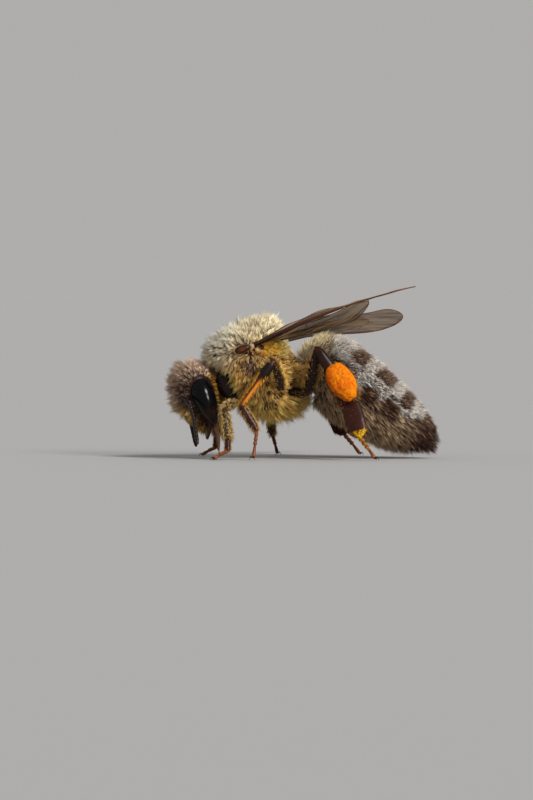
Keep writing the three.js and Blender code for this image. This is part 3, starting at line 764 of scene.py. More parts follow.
# For each segment: (share of the length, half width, half thickness) from hip to toe
GIRTHS = {
    "coxa": [(0, 0.2, 0.2), (0.15, 0.3, 0.28), (0.6, 0.3, 0.27), (0.9, 0.2, 0.18), (1, 0.13, 0.12)],
    "fore_coxa": [(0, 0.26, 0.28), (0.12, 0.42, 0.38), (0.5, 0.48, 0.4), (0.85, 0.34, 0.28),
                  (1, 0.15, 0.14)],
    "fore_femur": [(0, 0.13, 0.12), (0.12, 0.18, 0.17), (0.45, 0.2, 0.19), (0.85, 0.15, 0.14),
                   (1, 0.11, 0.1)],
    "mid_femur": [(0, 0.13, 0.12), (0.12, 0.18, 0.17), (0.4, 0.21, 0.19), (0.85, 0.15, 0.14),
                  (1, 0.12, 0.1)],
    "hind_femur": [(0, 0.14, 0.13), (0.12, 0.22, 0.18), (0.45, 0.26, 0.2), (0.85, 0.18, 0.15),
                   (1, 0.13, 0.11)],
    "fore_tibia": [(0, 0.1, 0.1), (0.1, 0.15, 0.13), (0.6, 0.19, 0.14), (0.9, 0.18, 0.14), (1, 0.12, 0.1)],
    "mid_tibia": [(0, 0.13, 0.1), (0.1, 0.21, 0.15), (0.28, 0.25, 0.17), (0.5, 0.14, 0.13),
                  (0.9, 0.13, 0.12), (1, 0.11, 0.1)],
    "hind_tibia": [(0, 0.12, 0.1), (0.08, 0.22, 0.15), (0.3, 0.28, 0.16), (0.7, 0.42, 0.14),
                   (0.95, 0.48, 0.13), (1, 0.4, 0.09)],
    "fore_basitarsus": [(0, 0.09, 0.08), (0.12, 0.13, 0.12), (0.8, 0.14, 0.12), (1, 0.1, 0.09)],
    "mid_basitarsus": [(0, 0.1, 0.08), (0.12, 0.18, 0.13), (0.8, 0.19, 0.12), (1, 0.11, 0.09)],
    "hind_basitarsus": [(0, 0.28, 0.08), (0.06, 0.44, 0.12), (0.5, 0.5, 0.13), (0.85, 0.46, 0.12),
                        (1, 0.2, 0.08)],
    "trochanter": [(0, 0.1, 0.1), (0.2, 0.16, 0.15), (0.8, 0.17, 0.16), (1, 0.1, 0.1)],
}
# The segments' order and colours
LEG_COLOURS = {"coxa": BLACK_BROWN, "femur": DARK_BROWN, "tibia": DARK_BROWN, "basitarsus": srgb(54, 20, 9)}
# The flat side of a segment faces outwards: its width lies along this direction
LEG_EDGE = np.array([1.0, 0.0, 0.3])
FEMUR_BOW = 0.08


class Limb(Ring):
    """A segment from a to b, oval in section. Turn 0 is its edge, a quarter turn its outer side."""

    def __init__(self, a, b, girth, bow=0.0):
        super().__init__([[0.0]])
        self.a, self.b = np.array(a, float), np.array(b, float)
        self.girth = np.array(girth)
        self.along = unit(self.b - self.a)
        self.wide = unit(LEG_EDGE - self.along * (LEG_EDGE @ self.along))
        self.thick = np.cross(self.along, self.wide)
        if self.thick[1] * self.b[1] < 0:
            self.thick = -self.thick
        self.bow = bow

    def at(self, t, turn):
        t = np.asarray(t, float)
        w = np.interp(t, self.girth[:, 0], self.girth[:, 1])
        h = np.interp(t, self.girth[:, 0], self.girth[:, 2])
        centre = self.a + t[..., None] * (self.b - self.a)
        centre = centre + (self.bow * np.sin(np.pi * t))[..., None] * self.thick
        across = (w * np.cos(turn))[..., None] * self.wide
        return centre + across + (h * np.sin(turn))[..., None] * self.thick


def leg_limbs(name):
    """The name and form of each segment of a leg."""
    joints = LEGS[name]
    kind = name.split("_")[0]
    made = []
    for part, a, b in zip(LEG_COLOURS, joints, joints[1:]):
        girth = GIRTHS.get(f"{kind}_{part}") or GIRTHS[part]
        made.append((part, Limb(a, b, girth, FEMUR_BOW if part == "femur" else 0.0)))
    return made


def build_legs():
    lengthwise = np.concatenate([[0, 0.01, 0.03], np.linspace(0.07, 0.93, 24), [0.97, 0.99, 1]])
    t, turn = lattice(lengthwise, round_the_ring(28))
    ends = step(0.1, 0.0, t) + step(0.9, 1.0, t)
    for name, joints in LEGS.items():
        kind = name.split("_")[0]
        for part, limb in leg_limbs(name):
            shape = Shape()
            points = limb.at(t, turn)
            colour = mix(LEG_COLOURS[part], BLACK_BROWN, noise(points, 2.2, 5))
            if (kind, part) == ("mid", "tibia"):
                # the lower mid tibia is amber along its edge towards the lamps and dark on the other: partly
                # its golden fringe, partly painted light
                amber_and_painted_light = mix(srgb(64, 34, 16), srgb(206, 122, 38), step(-0.3, 0.6, np.cos(turn)))
                colour = mix(BLACK_BROWN, amber_and_painted_light, step(0.36, 0.52, t))
            shape.grid(points, mix(colour, RED_BROWN, 0.7 * ends * (part != "coxa")))
            along, wide = limb.along, limb.wide
            if part == "femur":
                # a short ring at the hip's end
                ring = Limb(limb.a - along * 0.12, limb.a + along * 0.3, GIRTHS["trochanter"])
                shape.grid(ring.points(12, 20, 0.0), RED_BROWN)
            if (kind, part) == ("hind", "basitarsus"):
                # the spur-like heel
                heel = limb.at(0.05, np.pi)
                spur = [heel, heel + along * -0.1 - wide * 0.1, heel - along * 0.16 - wide * 0.22]
                shape.tube(spur, [0.12, 0.09, 0.02], RED_BROWN, 10)
            shape.make(f"{name}_{part}_shell", SHELL, "shell", [f"leg_{name}_{part}"])
        build_foot(name, np.array(joints[4], float), np.array(joints[5], float))


def build_foot(name, heel, toe):
    """Four small joints, each a little trumpet, then two forked claws and the pad between them."""
    shape = Shape()
    wide = 0.12 if name.startswith("hind") else 0.1
    along = unit(toe - heel)
    length = np.linalg.norm(toe - heel) - 0.1
    edges = np.array([0, 0.2, 0.38, 0.54, 1.0]) * length
    trumpet = ([0, 0.15, 0.8, 1], [0.05, 0.065, wide, wide * 0.6])
    last = ([0, 0.2, 0.8, 1], [0.05, 0.06, 0.09, 0.07])
    t = np.linspace(0, 1, 10)
    colour = mix(srgb(70, 34, 20), ORANGE_BROWN, np.linspace(0.0, 0.6, 10))
    for a, b, form in zip(edges[:-1], edges[1:], [trumpet] * 3 + [last]):
        s = np.linspace(a - 0.03, b + 0.03, 10)
        arch = np.sin(np.pi * s / length)[:, None] * np.array([[0, 0, 0.03]])
        shape.tube(heel + along * s[:, None] + arch, np.interp(t, *form), colour, 12)
    end = heel + along * length
    level = unit(np.array([along[0], along[1], 0]))
    aside = np.array([-level[1], level[0], 0])
    t = np.linspace(0, 1, 9)[:, None]
    for side in (-1, 1):
        hook = end + level * (0.16 * np.sin(t * 1.9)) + aside * side * (0.03 + 0.12 * t)
        hook[:, 2] = np.interp(t[:, 0], [0, 0.4, 1], [end[2], end[2] + 0.03, 0.012])
        shape.tube(hook, 0.032 * (1 - 0.8 * t[:, 0]), BLACK_BROWN)
    shape.ball(ellipsoid(end + level * 0.07 + [0, 0, -0.035], (0.07, 0.06, 0.03)), srgb(70, 46, 30), 8, 12)
    shape.make(f"{name}_foot_shell", SHELL, "shell", [f"leg_{name}_tarsus"])


# ---- pollen loads

# Where a load sits on the hind tibia (share of its length, and how far behind and outside its middle line),
# and its radii
LOAD_ALONG, LOAD_BACK, LOAD_OUT = 0.675, 0.13, 0.36
LOAD_LONG, LOAD_WIDE, LOAD_THICK = 0.98, 0.61, 0.48
PELLET_GRAINS = 2600
HEEL_GRAINS, STRAY_GRAINS = 420, 40


def grains(shape, spot, size, tint):
    """Single grains, each an eight-sided crumb."""
    crumb = np.array([[1, 0, 0], [0, 1, 0], [-1, 0, 0], [0, -1, 0], [0, 0, 1], [0, 0, -1]], float)
    around = [(k, (k + 1) % 4) for k in range(4)]
    tri = np.array([[a, b, 4] for a, b in around] + [[b, a, 5] for a, b in around])
    verts = spot[:, None] + crumb[None] * size[:, None, None]
    tris = (tri[None] + 6 * np.arange(len(spot))[:, None, None]).reshape(-1, 3)
    shape.add(verts, [], tris, np.clip(np.repeat(tint, 6, axis=0), 0, 1))


def build_dust():
    """Loose yellow pollen caught on the near hind foot."""
    heel, toe = (np.array(p) for p in LEGS["hind_left"][4:6])
    limb = Limb(LEGS["hind_left"][3], heel, GIRTHS["hind_basitarsus"])
    shape = Shape()
    n = HEEL_GRAINS
    t, turn = 1 - 0.15 * RNG.random(n) ** 1.3, np.pi / 4 + RNG.normal(size=n) * 0.8
    share = RNG.random((n, 1)) ** 1.5 * 0.55
    around = unit(RNG.normal(size=(n, 3)) + [0.6, -0.4, 0]) * 0.1
    few = RNG.random(STRAY_GRAINS)
    strays = limb.at(few, np.pi / 2 + RNG.normal(size=STRAY_GRAINS) * 0.8)
    spot = np.concatenate([limb.at(t, turn), heel + (toe - heel) * share + around, strays])
    tint = srgb(214, 168, 12) * (0.7 + 0.5 * RNG.random((len(spot), 1)))
    tint[-STRAY_GRAINS:] = srgb(190, 96, 10)
    size = 0.011 + 0.02 * RNG.random(len(spot)) ** 3
    size[-STRAY_GRAINS:] *= 0.6
    grains(shape, spot, size, tint)
    shape.make("pollen_dust", POLLEN, "pollen")


def build_pollen():
    for name, side in SIDES:
        knee, ankle = (np.array(p) for p in LEGS[f"hind_{name}"][2:4])
        along = unit(ankle - knee)
        out = np.array([0.0, side, 0.0])
        wide = unit(np.cross(along, out))
        wide = wide if wide[0] > 0 else -wide
        centre = knee + (ankle - knee) * LOAD_ALONG + out * LOAD_OUT + wide * LOAD_BACK

        def place(s):
            down = s[..., 2:3]
            rough = noise(s, 2.4, 7 + side)[..., None] * 0.16 + noise(s, 7.0, 9)[..., None] * 0.06 + 0.88
            across = wide * s[..., 0:1] * LOAD_WIDE * (1 - 0.15 * down)
            return centre + rough * (along * down * LOAD_LONG + across + out * s[..., 1:2] * LOAD_THICK)

        def colour(p):
            # painted light: each load is lighter on its side towards the lamps and darker on the other, and
            # its grains take the same colours
            painted_light_side = 0.55 + 0.5 * ((p - centre) @ wide) / LOAD_WIDE
            base = mix(srgb(180, 64, 0), srgb(208, 106, 0), np.clip(painted_light_side, 0, 1))
            return mix(base, srgb(240, 170, 20), 0.55 * noise(p, 9.0, 4) ** 2)

        shape = Shape()
        points = place(sphere_points(70, 100))
        shape.grid(points, colour(points))
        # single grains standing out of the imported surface
        spot = place(unit(RNG.normal(size=(PELLET_GRAINS, 3))))
        size = 0.018 + 0.02 * RNG.random(PELLET_GRAINS)
        grains(shape, spot, size, colour(spot) * (0.85 + 0.4 * RNG.random((PELLET_GRAINS, 1))))
        shape.make(f"pollen_{name}_pellet", POLLEN, "pollen", [f"pollen_load_{name}"])


# ---- wings

# Outlines and veins as (distance from the root along the span, distance behind the leading edge)
FOREWING = [(0, 0.05), (1.5, -0.05), (4.4, -0.03), (7.0, 0.06), (8.3, 0.42), (8.86, 1.1), (8.7, 1.88),
            (7.95, 2.52), (6.8, 2.84), (5.7, 2.62), (4.1, 1.92), (2.1, 1.16), (0.7, 0.68), (0, 0.52)]
HINDWING = [(0.3, 0.5), (2.3, 0.59), (4.3, 0.86), (5.5, 1.21), (6.05, 1.66), (6.07, 2.02), (5.6, 2.43),
            (4.57, 2.62), (3.38, 2.44), (2.2, 1.94), (1.15, 1.3), (0.3, 0.9)]
# (half width in mm, points along the vein)
FORE_VEINS = [
    (0.1, [(0, 0.1), (1.5, 0.02), (4.4, 0.05), (5.6, 0.06)]),
    (0.13, [(0, 0.24), (1.6, 0.2), (3.6, 0.21), (5.6, 0.15)]),
    (0.045, [(5.3, 0.1), (7.0, 0.12), (8.0, 0.36), (8.5, 0.66), (8.8, 1.1), (8.66, 1.8)]),
    (0.028, [(4.92, 0.46), (5.7, 0.62), (7.0, 0.62), (7.9, 0.46), (8.1, 0.4)]),
    (0.036, [(0.05, 0.28), (1.6, 0.52), (2.6, 0.72), (3.4, 0.86)]),
    (0.028, [(3.3, 0.84), (3.62, 0.5), (3.95, 0.18)]),
    (0.026, [(3.8, 0.34), (4.35, 0.6), (4.92, 0.46)]),
    (0.026, [(4.6, 0.14), (4.8, 0.3), (4.92, 0.46)]),
    (0.026, [(3.45, 0.88), (4.3, 1.08), (5.3, 1.12), (6.1, 1.28), (7.0, 1.5)]),
    (0.024, [(4.95, 0.5), (5.2, 0.8), (5.3, 1.12)]),
    (0.024, [(5.95, 0.62), (5.7, 0.9), (5.6, 1.16)]),
    (0.024, [(6.7, 0.62), (6.8, 1.0), (7.0, 1.48)]),
    (0.024, [(4.3, 1.1), (4.2, 1.35), (4.1, 1.6)]),
    (0.024, [(6.05, 1.28), (6.0, 1.65), (5.8, 2.0)]),
    (0.028, [(3.4, 0.88), (3.6, 1.3), (4.1, 1.6), (5.2, 1.92), (5.8, 2.02)]),
    (0.034, [(0.05, 0.42), (1.6, 0.86), (2.8, 1.25), (3.6, 1.36)]),
]
HIND_VEINS = [
    (0.036, [(0.3, 0.58), (2.3, 0.68), (3.4, 0.84), (4.3, 0.94)]),
    (0.03, [(0.3, 0.72), (1.6, 0.98), (2.6, 1.25), (3.8, 1.42), (5.0, 1.66)]),
    (0.024, [(2.5, 1.22), (2.7, 0.96), (2.9, 0.76)]),
    (0.024, [(2.6, 1.25), (3.0, 1.7), (3.9, 2.1)]),
    (0.026, [(0.35, 0.85), (1.4, 1.35), (2.4, 1.85)]),
]
# Root of the blades, tip of the leading edge, how far the span arches; then for each blade a row of spans,
# how far its trailing side is raised at each of them, and how far the blade hangs below the wing's plane
WINGS = {
    "left": {"root": (-2.19, -1.9, 5.33), "tip": (4.46, -7.29, 8.0), "arch": 0.22,
             "forewing": ([0, 3, 4.4, 6, 8.9], [0.38, 0.15, 0.0, -0.05, -0.1], 0.0),
             "hindwing": ([0, 4.4, 6.1], [-0.5, -0.44, -0.22], -0.27), "hindwing_reach": 0.94},
    "right": {"root": (-2.19, 1.9, 5.36), "tip": (4.0, 8.33, 5.84), "arch": 0.24,
              "forewing": ([0, 8.9], [0.38, 0.4], 0.0), "hindwing": ([0, 8.9], [0.38, 0.4], 0.28)},
}
SPAN = 8.9
BLADE_HALF = 0.008
BLADE_ROWS, BLADE_COLUMNS = ((150, 40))
RIM_RADIUS = 0.018


def wing_place(name, kind):
    """A function from (span, chord, height above the blade) to the bee's frame."""
    wing = WINGS[name]
    spans, raises, hang = wing[kind]
    root, tip = np.array(wing["root"]), np.array(wing["tip"])
    along = unit(tip - root)
    inward = np.array([0, -np.sign(root[1]), 0])
    level = unit(inward - along * (inward @ along))
    lift = np.cross(along, level)
    lift = lift if lift[2] > 0 else -lift

    def place(span, chord, height=0.0):
        span, chord = np.asarray(span, float), np.asarray(chord, float)
        raised = np.interp(span, spans, raises)
        back = unit(level + raised[..., None] * lift)
        up = np.cross(along, back) * (1 if name == "left" else -1)
        # the blade is arched along its span, pleated between its veins and a little wavy
        inner = step(0.15, 0.8, chord) * step(9.4, 6.0, span)
        pleat = 0.03 * np.sin(chord * 7.0 + span * 0.9) * inner * step(0, 2.0, span)
        flat = np.stack([span * 0.7, chord, 0 * span], -1)
        wave = 0.07 * (noise(flat, 1.1, 21) - 0.5) * inner * step(1.5, 5.0, span)
        z = wing["arch"] * np.sin(np.pi * span / SPAN) - hang + pleat + wave + height
        span = span * wing.get(f"{kind}_reach", 1.0)
        return root + span[..., None] * along + chord[..., None] * back + z[..., None] * up

    return place


def outline_at(outline, spans):
    """A wing outline's leading and trailing chords at each span."""
    line = catmull(list(outline) + [outline[0]], np.linspace(0, 1, 900))
    lead = int(np.argmax(line[:, 0]))
    edges = line[: lead + 1], line[lead:][::-1]
    return [np.interp(spans, np.maximum.accumulate(edge[:, 0]), edge[:, 1]) for edge in edges]


def folded(values):
    """Values of a blade's upper face, then the same for its lower face."""
    return np.concatenate([values, values[:, ::-1]], axis=1)


def build_wing(name, kind, outline, veins):
    place = wing_place(name, kind)
    start = outline[0][0]
    reach = max(p[0] for p in outline) + 0.01
    span = start + (reach - start) * np.sin(np.linspace(0, 1, BLADE_ROWS) * np.pi / 2)
    front, rear = outline_at(outline, span)
    rear[-1] = front[-1] = (front[-1] + rear[-1]) / 2
    chord = front[:, None] + (rear - front)[:, None] * np.linspace(0, 1, BLADE_COLUMNS)[None]
    spans = np.broadcast_to(span[:, None], chord.shape)
    top, low = place(spans, chord, BLADE_HALF), place(spans, chord, -BLADE_HALF)
    loop = np.concatenate([top, low[:, ::-1]], axis=1)
    streak = folded(noise(np.stack([spans * 0.6, chord * 7, 0 * chord], -1), 1.0, 15))
    base = folded(step(0.25, 0.0, (spans - start) / reach))
    shape = Shape()
    shape.grid(loop, layered(
        srgb(196, 166, 124),
        (srgb(84, 62, 44), 0.3 * noise(loop, 0.9, 2) + 0.7 * step(0.25, 0.75, streak)),
        (srgb(120, 80, 44), base * 0.7),
    ))
    shape.make(f"{kind}_{name}_membrane", MEMBRANE, "wing", [f"{kind}_{name}"])
    shape = Shape()
    for half, points in veins:
        path = catmull(points, np.linspace(0, 1, 14 * (len(points) - 1)))
        taper = half * np.interp(np.linspace(0, 1, len(path)), [0, 0.75, 1], [1, 0.85, 0.6])
        tint = mix(srgb(40, 10, 6), srgb(116, 72, 48), np.clip(path[:, 0] / 6.5, 0, 1) ** 2)
        shape.tube(place(path[:, 0], path[:, 1]), np.stack([taper, taper * 0.8], -1), tint)
    # the thin rim of the blade
    rim = np.concatenate([np.stack([span, front], -1), np.stack([span, rear], -1)[::-1]])
    shape.tube(place(rim[:, 0], rim[:, 1]), np.full(len(rim), RIM_RADIUS), srgb(92, 58, 36), 6)
    shape.make(f"{kind}_{name}_veins", VEIN, "wing")


# The cap over each wing's root: its middle, and its half length and half height
TEGULA = (-2.72, 1.9, 5.22)
TEGULA_LONG, TEGULA_HIGH = 0.44, 0.22
# The little hinge plates between the cap and the wing: (x, y, z, size, colour). The pale plates are partly
# their own colour and partly painted highlight, the glint on the wing's hinge
HINGES_AND_PAINTED_GLINTS = (
    (-2.3, 1.86, 5.34, 0.13, srgb(150, 126, 98)),
    (-2.14, 1.8, 5.22, 0.11, RED_BROWN),
    (-2.02, 1.84, 5.4, 0.1, srgb(128, 96, 66)),
    (-1.86, 1.8, 5.3, 0.12, RED_BROWN),
)


def build_wings():
    for name in WINGS:
        build_wing(name, "forewing", FOREWING, FORE_VEINS)
        build_wing(name, "hindwing", HINDWING, HIND_VEINS)
    for name, side in SIDES:
        middle = np.array(TEGULA) * [1, side, 1]
        along = unit(np.array([0.65, side * 0.06, 0.22]))
        across = unit(np.cross(along, [0, side, 0]))
        out = np.cross(along, across)
        out = out * np.sign(out[1] * side)
        # the cap is a low dome; its edge turns out into a pale lip
        radius, turn = lattice(np.linspace(0.04, 1.0, 22), round_the_ring(40))
        dome = 0.2 * np.sqrt(np.clip(1 - (radius / 0.93) ** 2, 0, 1)) + 0.05 * step(0.86, 1.0, radius)
        bean = 1 - 0.16 * np.sin(turn) ** 2 * np.cos(turn)
        disc = (along * (radius * bean * np.cos(turn) * TEGULA_LONG)[..., None]
                + across * (radius * bean * np.sin(turn) * TEGULA_HIGH)[..., None])
        front = middle + disc + out * dome[..., None]
        back = middle + disc[::-1] * 0.97 - out * 0.03
        pale = step(0.84, 0.95, radius) * (0.25 + 0.75 * step(0.2, -0.5, np.cos(turn)))
        tint = mix(srgb(84, 46, 26), srgb(46, 22, 12), step(0.0, 0.7, radius))
        tint = mix(tint, srgb(170, 138, 96), pale)
        shape = Shape()
        shape.grid(np.concatenate([front, back]), np.concatenate([tint, tint[::-1]]))
        shape.make(f"tegula_{name}_cap", SHELL, "shell", [f"tegula_{name}"])
        shape = Shape()
        # hinge plates; the pale ones are partly painted highlight
        for x, y, z, size, tint in HINGES_AND_PAINTED_GLINTS:
            shape.ball(ellipsoid((x, side * y, z), (size * 1.3, size * 0.7, size)), tint)
        shape.make(f"wing_hinge_{name}", SHELL, "shell")


# ---- coat

ROOT_DEPTH = 0.05  # how far a tuft's foot lies under the skin, mm
FLOOR_GAP = 0.012  # the lowest a tuft reaches, mm
UV_PATCH = 0.003  # a tuft's own patch of the texture, and the texture's margin
# A tuft's rings from the root up: (share of its length, share of its width, share of the tip's colour)
# the rest of each ring's colour is the root's, whose darkness is painted shade deep in the coat
TUFT_RINGS = ((0.0, 1.0, 0.0), (0.52, 0.92, 0.46))


def coat(name, hair, slot="coat", clump=5, pull=0.55):
    """A coat of tapered, three-sided tufts. hair holds these, with a row per tuft: root, surface normal,
    direction at the root, length, half width, what bends it, colours of root and tip, place on the surface.
    The dark root colour is partly painted shade, the shadow deep in the coat.
    Tufts of one clump lean together at their tips."""
    root, normal, lie, length, width, droop, root_tint_and_painted_shade, tint_tip, uv = hair
    n = len(root)
    lie = unit(lie)
    length, width = length[:, None], width[:, None]
    base = root - normal * ROOT_DEPTH
    tip = base + (lie + 0.5 * droop) * length
    leader = RNG.choice(n, max(1, n // clump), replace=False)
    tree = KDTree(len(leader))
    for i in leader:
        tree.insert(base[i], int(i))
    tree.balance()
    lead = np.array([tree.find(b)[1] for b in base])
    chance = RNG.random((n, 1))
    tip += (tip[lead] + 0.3 * (base - base[lead]) - tip) * pull * (0.35 + 0.65 * chance[lead])
    tone = (0.4 + 1.1 * RNG.random((n, 1))[lead]) * (0.66 + 0.76 * RNG.random((n, 1)))
    bend = tip - base - lie * length
    side = unit(np.cross(lie, RNG.normal(size=(n, 3))))
    other = np.cross(lie, side)
    verts = np.zeros((n, 7, 3))
    colour = np.zeros((n, 7, 3))
    for ring, (t, w, pale) in enumerate(TUFT_RINGS):
        middle = base + lie * length * t + bend * t * t
        for k in range(3):
            a = TAU * k / 3
            verts[:, 3 * ring + k] = middle + (side * math.cos(a) + other * math.sin(a)) * width * w
            colour[:, 3 * ring + k] = mix(root_tint_and_painted_shade, tint_tip * tone, np.full(n, pale))
    verts[:, 6] = tip
    verts[..., 2] = np.maximum(verts[..., 2], FLOOR_GAP)
    colour[:, 6] = tint_tip * tone
    wall = [[k, (k + 1) % 3, 3 + (k + 1) % 3] for k in range(3)]
    wall += [[k, 3 + (k + 1) % 3, 3 + k] for k in range(3)]
    pattern = np.array(wall + [[3, 4, 6], [4, 5, 6], [5, 3, 6], [2, 1, 0]])
    tris = (pattern[None] + 7 * np.arange(n)[:, None, None]).reshape(-1, 3)
    local = np.array([[r, k] for r in range(2) for k in range(3)] + [[2, 1]]) * UV_PATCH / 2
    patch = UV_PATCH + 0.991 * np.mod(uv, 1.0)[:, None] + local[None]
    make_object(name, verts.reshape(-1, 3), [tris], np.clip(colour, 0, 1).reshape(-1, 3), FUR, slot,
                uv=patch.reshape(-1, 2))


def coat_in_two(name, ahead, hair, *rest):
    """A coat in a front and a rear piece."""
    for end, pick in (("front", ahead), ("rear", ~ahead)):
        coat(f"{name}_{end}", [column[pick] for column in hair], *rest)


def share_of(count):
    return count


def jitter(n, amount):
    return RNG.normal(size=(n, 3)) * amount


def vary(n, spread):
    return 1 + spread * (RNG.random(n) * 2 - 1)


def surface_uv(t, turn):
    return np.stack([turn / TAU, t], -1)


def leaning(lie, *pushes):
    """Directions pushed over by each (way, share) in turn."""
    for way, share in pushes:
        lie = lie + np.asarray(way) * share[:, None]
    return lie


SOCKETS = [on_head(0.29, 0.93, side) for side in (-0.3, 0.3)]


def face_shield(up, front, side):
    """1 on the clypeus, the smooth shield in the middle of the lower face."""
    high = step(-0.3, -0.45, up) * step(-1.45, -1.3, up)
    return high * step(0.62, 0.45, np.abs(side)) * step(0.2, 0.4, front)


def coat_head():
    def density(t, turn, p, normal):
        up, front, side = to_head(p)
        bare = (eye_depth(p) < 1.06) | (THORAX.depth(p) < 0.9)
        for socket in SOCKETS:
            bare |= np.linalg.norm(p - socket, axis=-1) < 0.2
        beside_eye = step(1.5, 1.15, eye_depth(p)) * step(-0.2, 0.3, front)
        shield = face_shield(up, front, side)
        thin = (1 - 0.5 * step(-1.1, -1.5, up)) * (1 - 0.6 * beside_eye) * (1 - 0.8 * shield)
        return np.where(bare, 0, thin)

    n = share_of(10500)
    t, turn, p, normal = HEAD.scatter(n, density)
    up, front, side = to_head(p)
    lie = leaning(
        normal + jitter(n, 0.2),
        (0.35 * HEAD_UP, step(0.2, 1.0, up)),
        (-0.25 * HEAD_UP, step(0.0, -1.0, up)),
    )
    droop = jitter(n, 0.2) + 0.2 * HEAD_FRONT
    beside_eye = step(1.7, 1.1, eye_depth(p))
    orbit = step(2.1, 1.6, eye_depth(p)) * step(-0.4, 0.0, front) * step(0.9, 0.5, up)
    length = 0.52 * vary(n, 0.35) * (1 - 0.35 * step(-0.3, -1.2, up)) * (1 - 0.3 * step(0.1, -0.5, front))
    length *= (1 - 0.4 * beside_eye) * (1 - 0.6 * face_shield(up, front, side)) * (1 - 0.5 * orbit)
    width = 0.012 * vary(n, 0.25)
    low = step(0.1, -0.7, up)
    behind = step(0.1, -0.4, front) * step(0.95, 0.4, up)
    # the roots' dark colours are partly painted shade, the shadow deep in the coat
    root = layered(srgb(26, 13, 11), (srgb(44, 23, 8), low), (srgb(46, 26, 9), behind),
                   (srgb(30, 14, 14), orbit))
    tip = layered(srgb(216, 182, 156), (srgb(236, 184, 96), low), (srgb(196, 142, 64), behind),
                  (srgb(132, 98, 88), 0.85 * orbit))
    tip = tip * vary(n, 0.2)[:, None]
    hair = (p, normal, lie, length, width, droop, root, tip, surface_uv(t, turn))
    coat("coat_head", hair, "face_coat", 6, 0.86)
    # short hairs between the facets, darker at the root, where the darkness is painted shade
    n = share_of(500)
    for name, side in SIDES:
        way = unit(RNG.normal(size=(n, 3)))
        way[:, 0] = np.abs(way[:, 0])
        p = on_eye(way, side)
        normal = unit(on_eye(way * 1.05, side) - on_eye(way * 0.95, side))
        coat(f"coat_eye_{name}", (
            p, normal, normal + jitter(n, 0.15), 0.08 * vary(n, 0.2), 0.004 * vary(n, 0.2), jitter(n, 0.1),
            np.tile(srgb(30, 24, 20), (n, 1)), np.tile(srgb(76, 64, 54), (n, 1)), way[:, 1:] * 0.5 + 0.5,
        ), "face_coat")


def near_joint(p):
    """True where a tegula or a wing root leaves no room for hair."""
    bare = np.zeros(p.shape[:-1], bool)
    for side in (-1, 1):
        bare |= np.linalg.norm((p - [-2.72, side * 1.9, 5.25]) / [0.4, 0.5, 0.22], axis=-1) < 1
        bare |= np.linalg.norm((p - [-2.1, side * 1.85, 5.3]) / [0.3, 0.5, 0.14], axis=-1) < 1
    return bare


def beside(p, a, b):
    """Distance from the line between a and b."""
    a, b = np.array(a), np.array(b)
    share = np.clip((p - a) @ (b - a) / ((b - a) @ (b - a)), 0, 1)
    return np.linalg.norm(p - a - share[..., None] * (b - a), axis=-1)


def hind_hips(p):
    """Distance from the nearer of the hind legs' coxae."""
    return np.minimum(*[beside(p, *LEGS[name][:2]) for name in ("hind_left", "hind_right")])


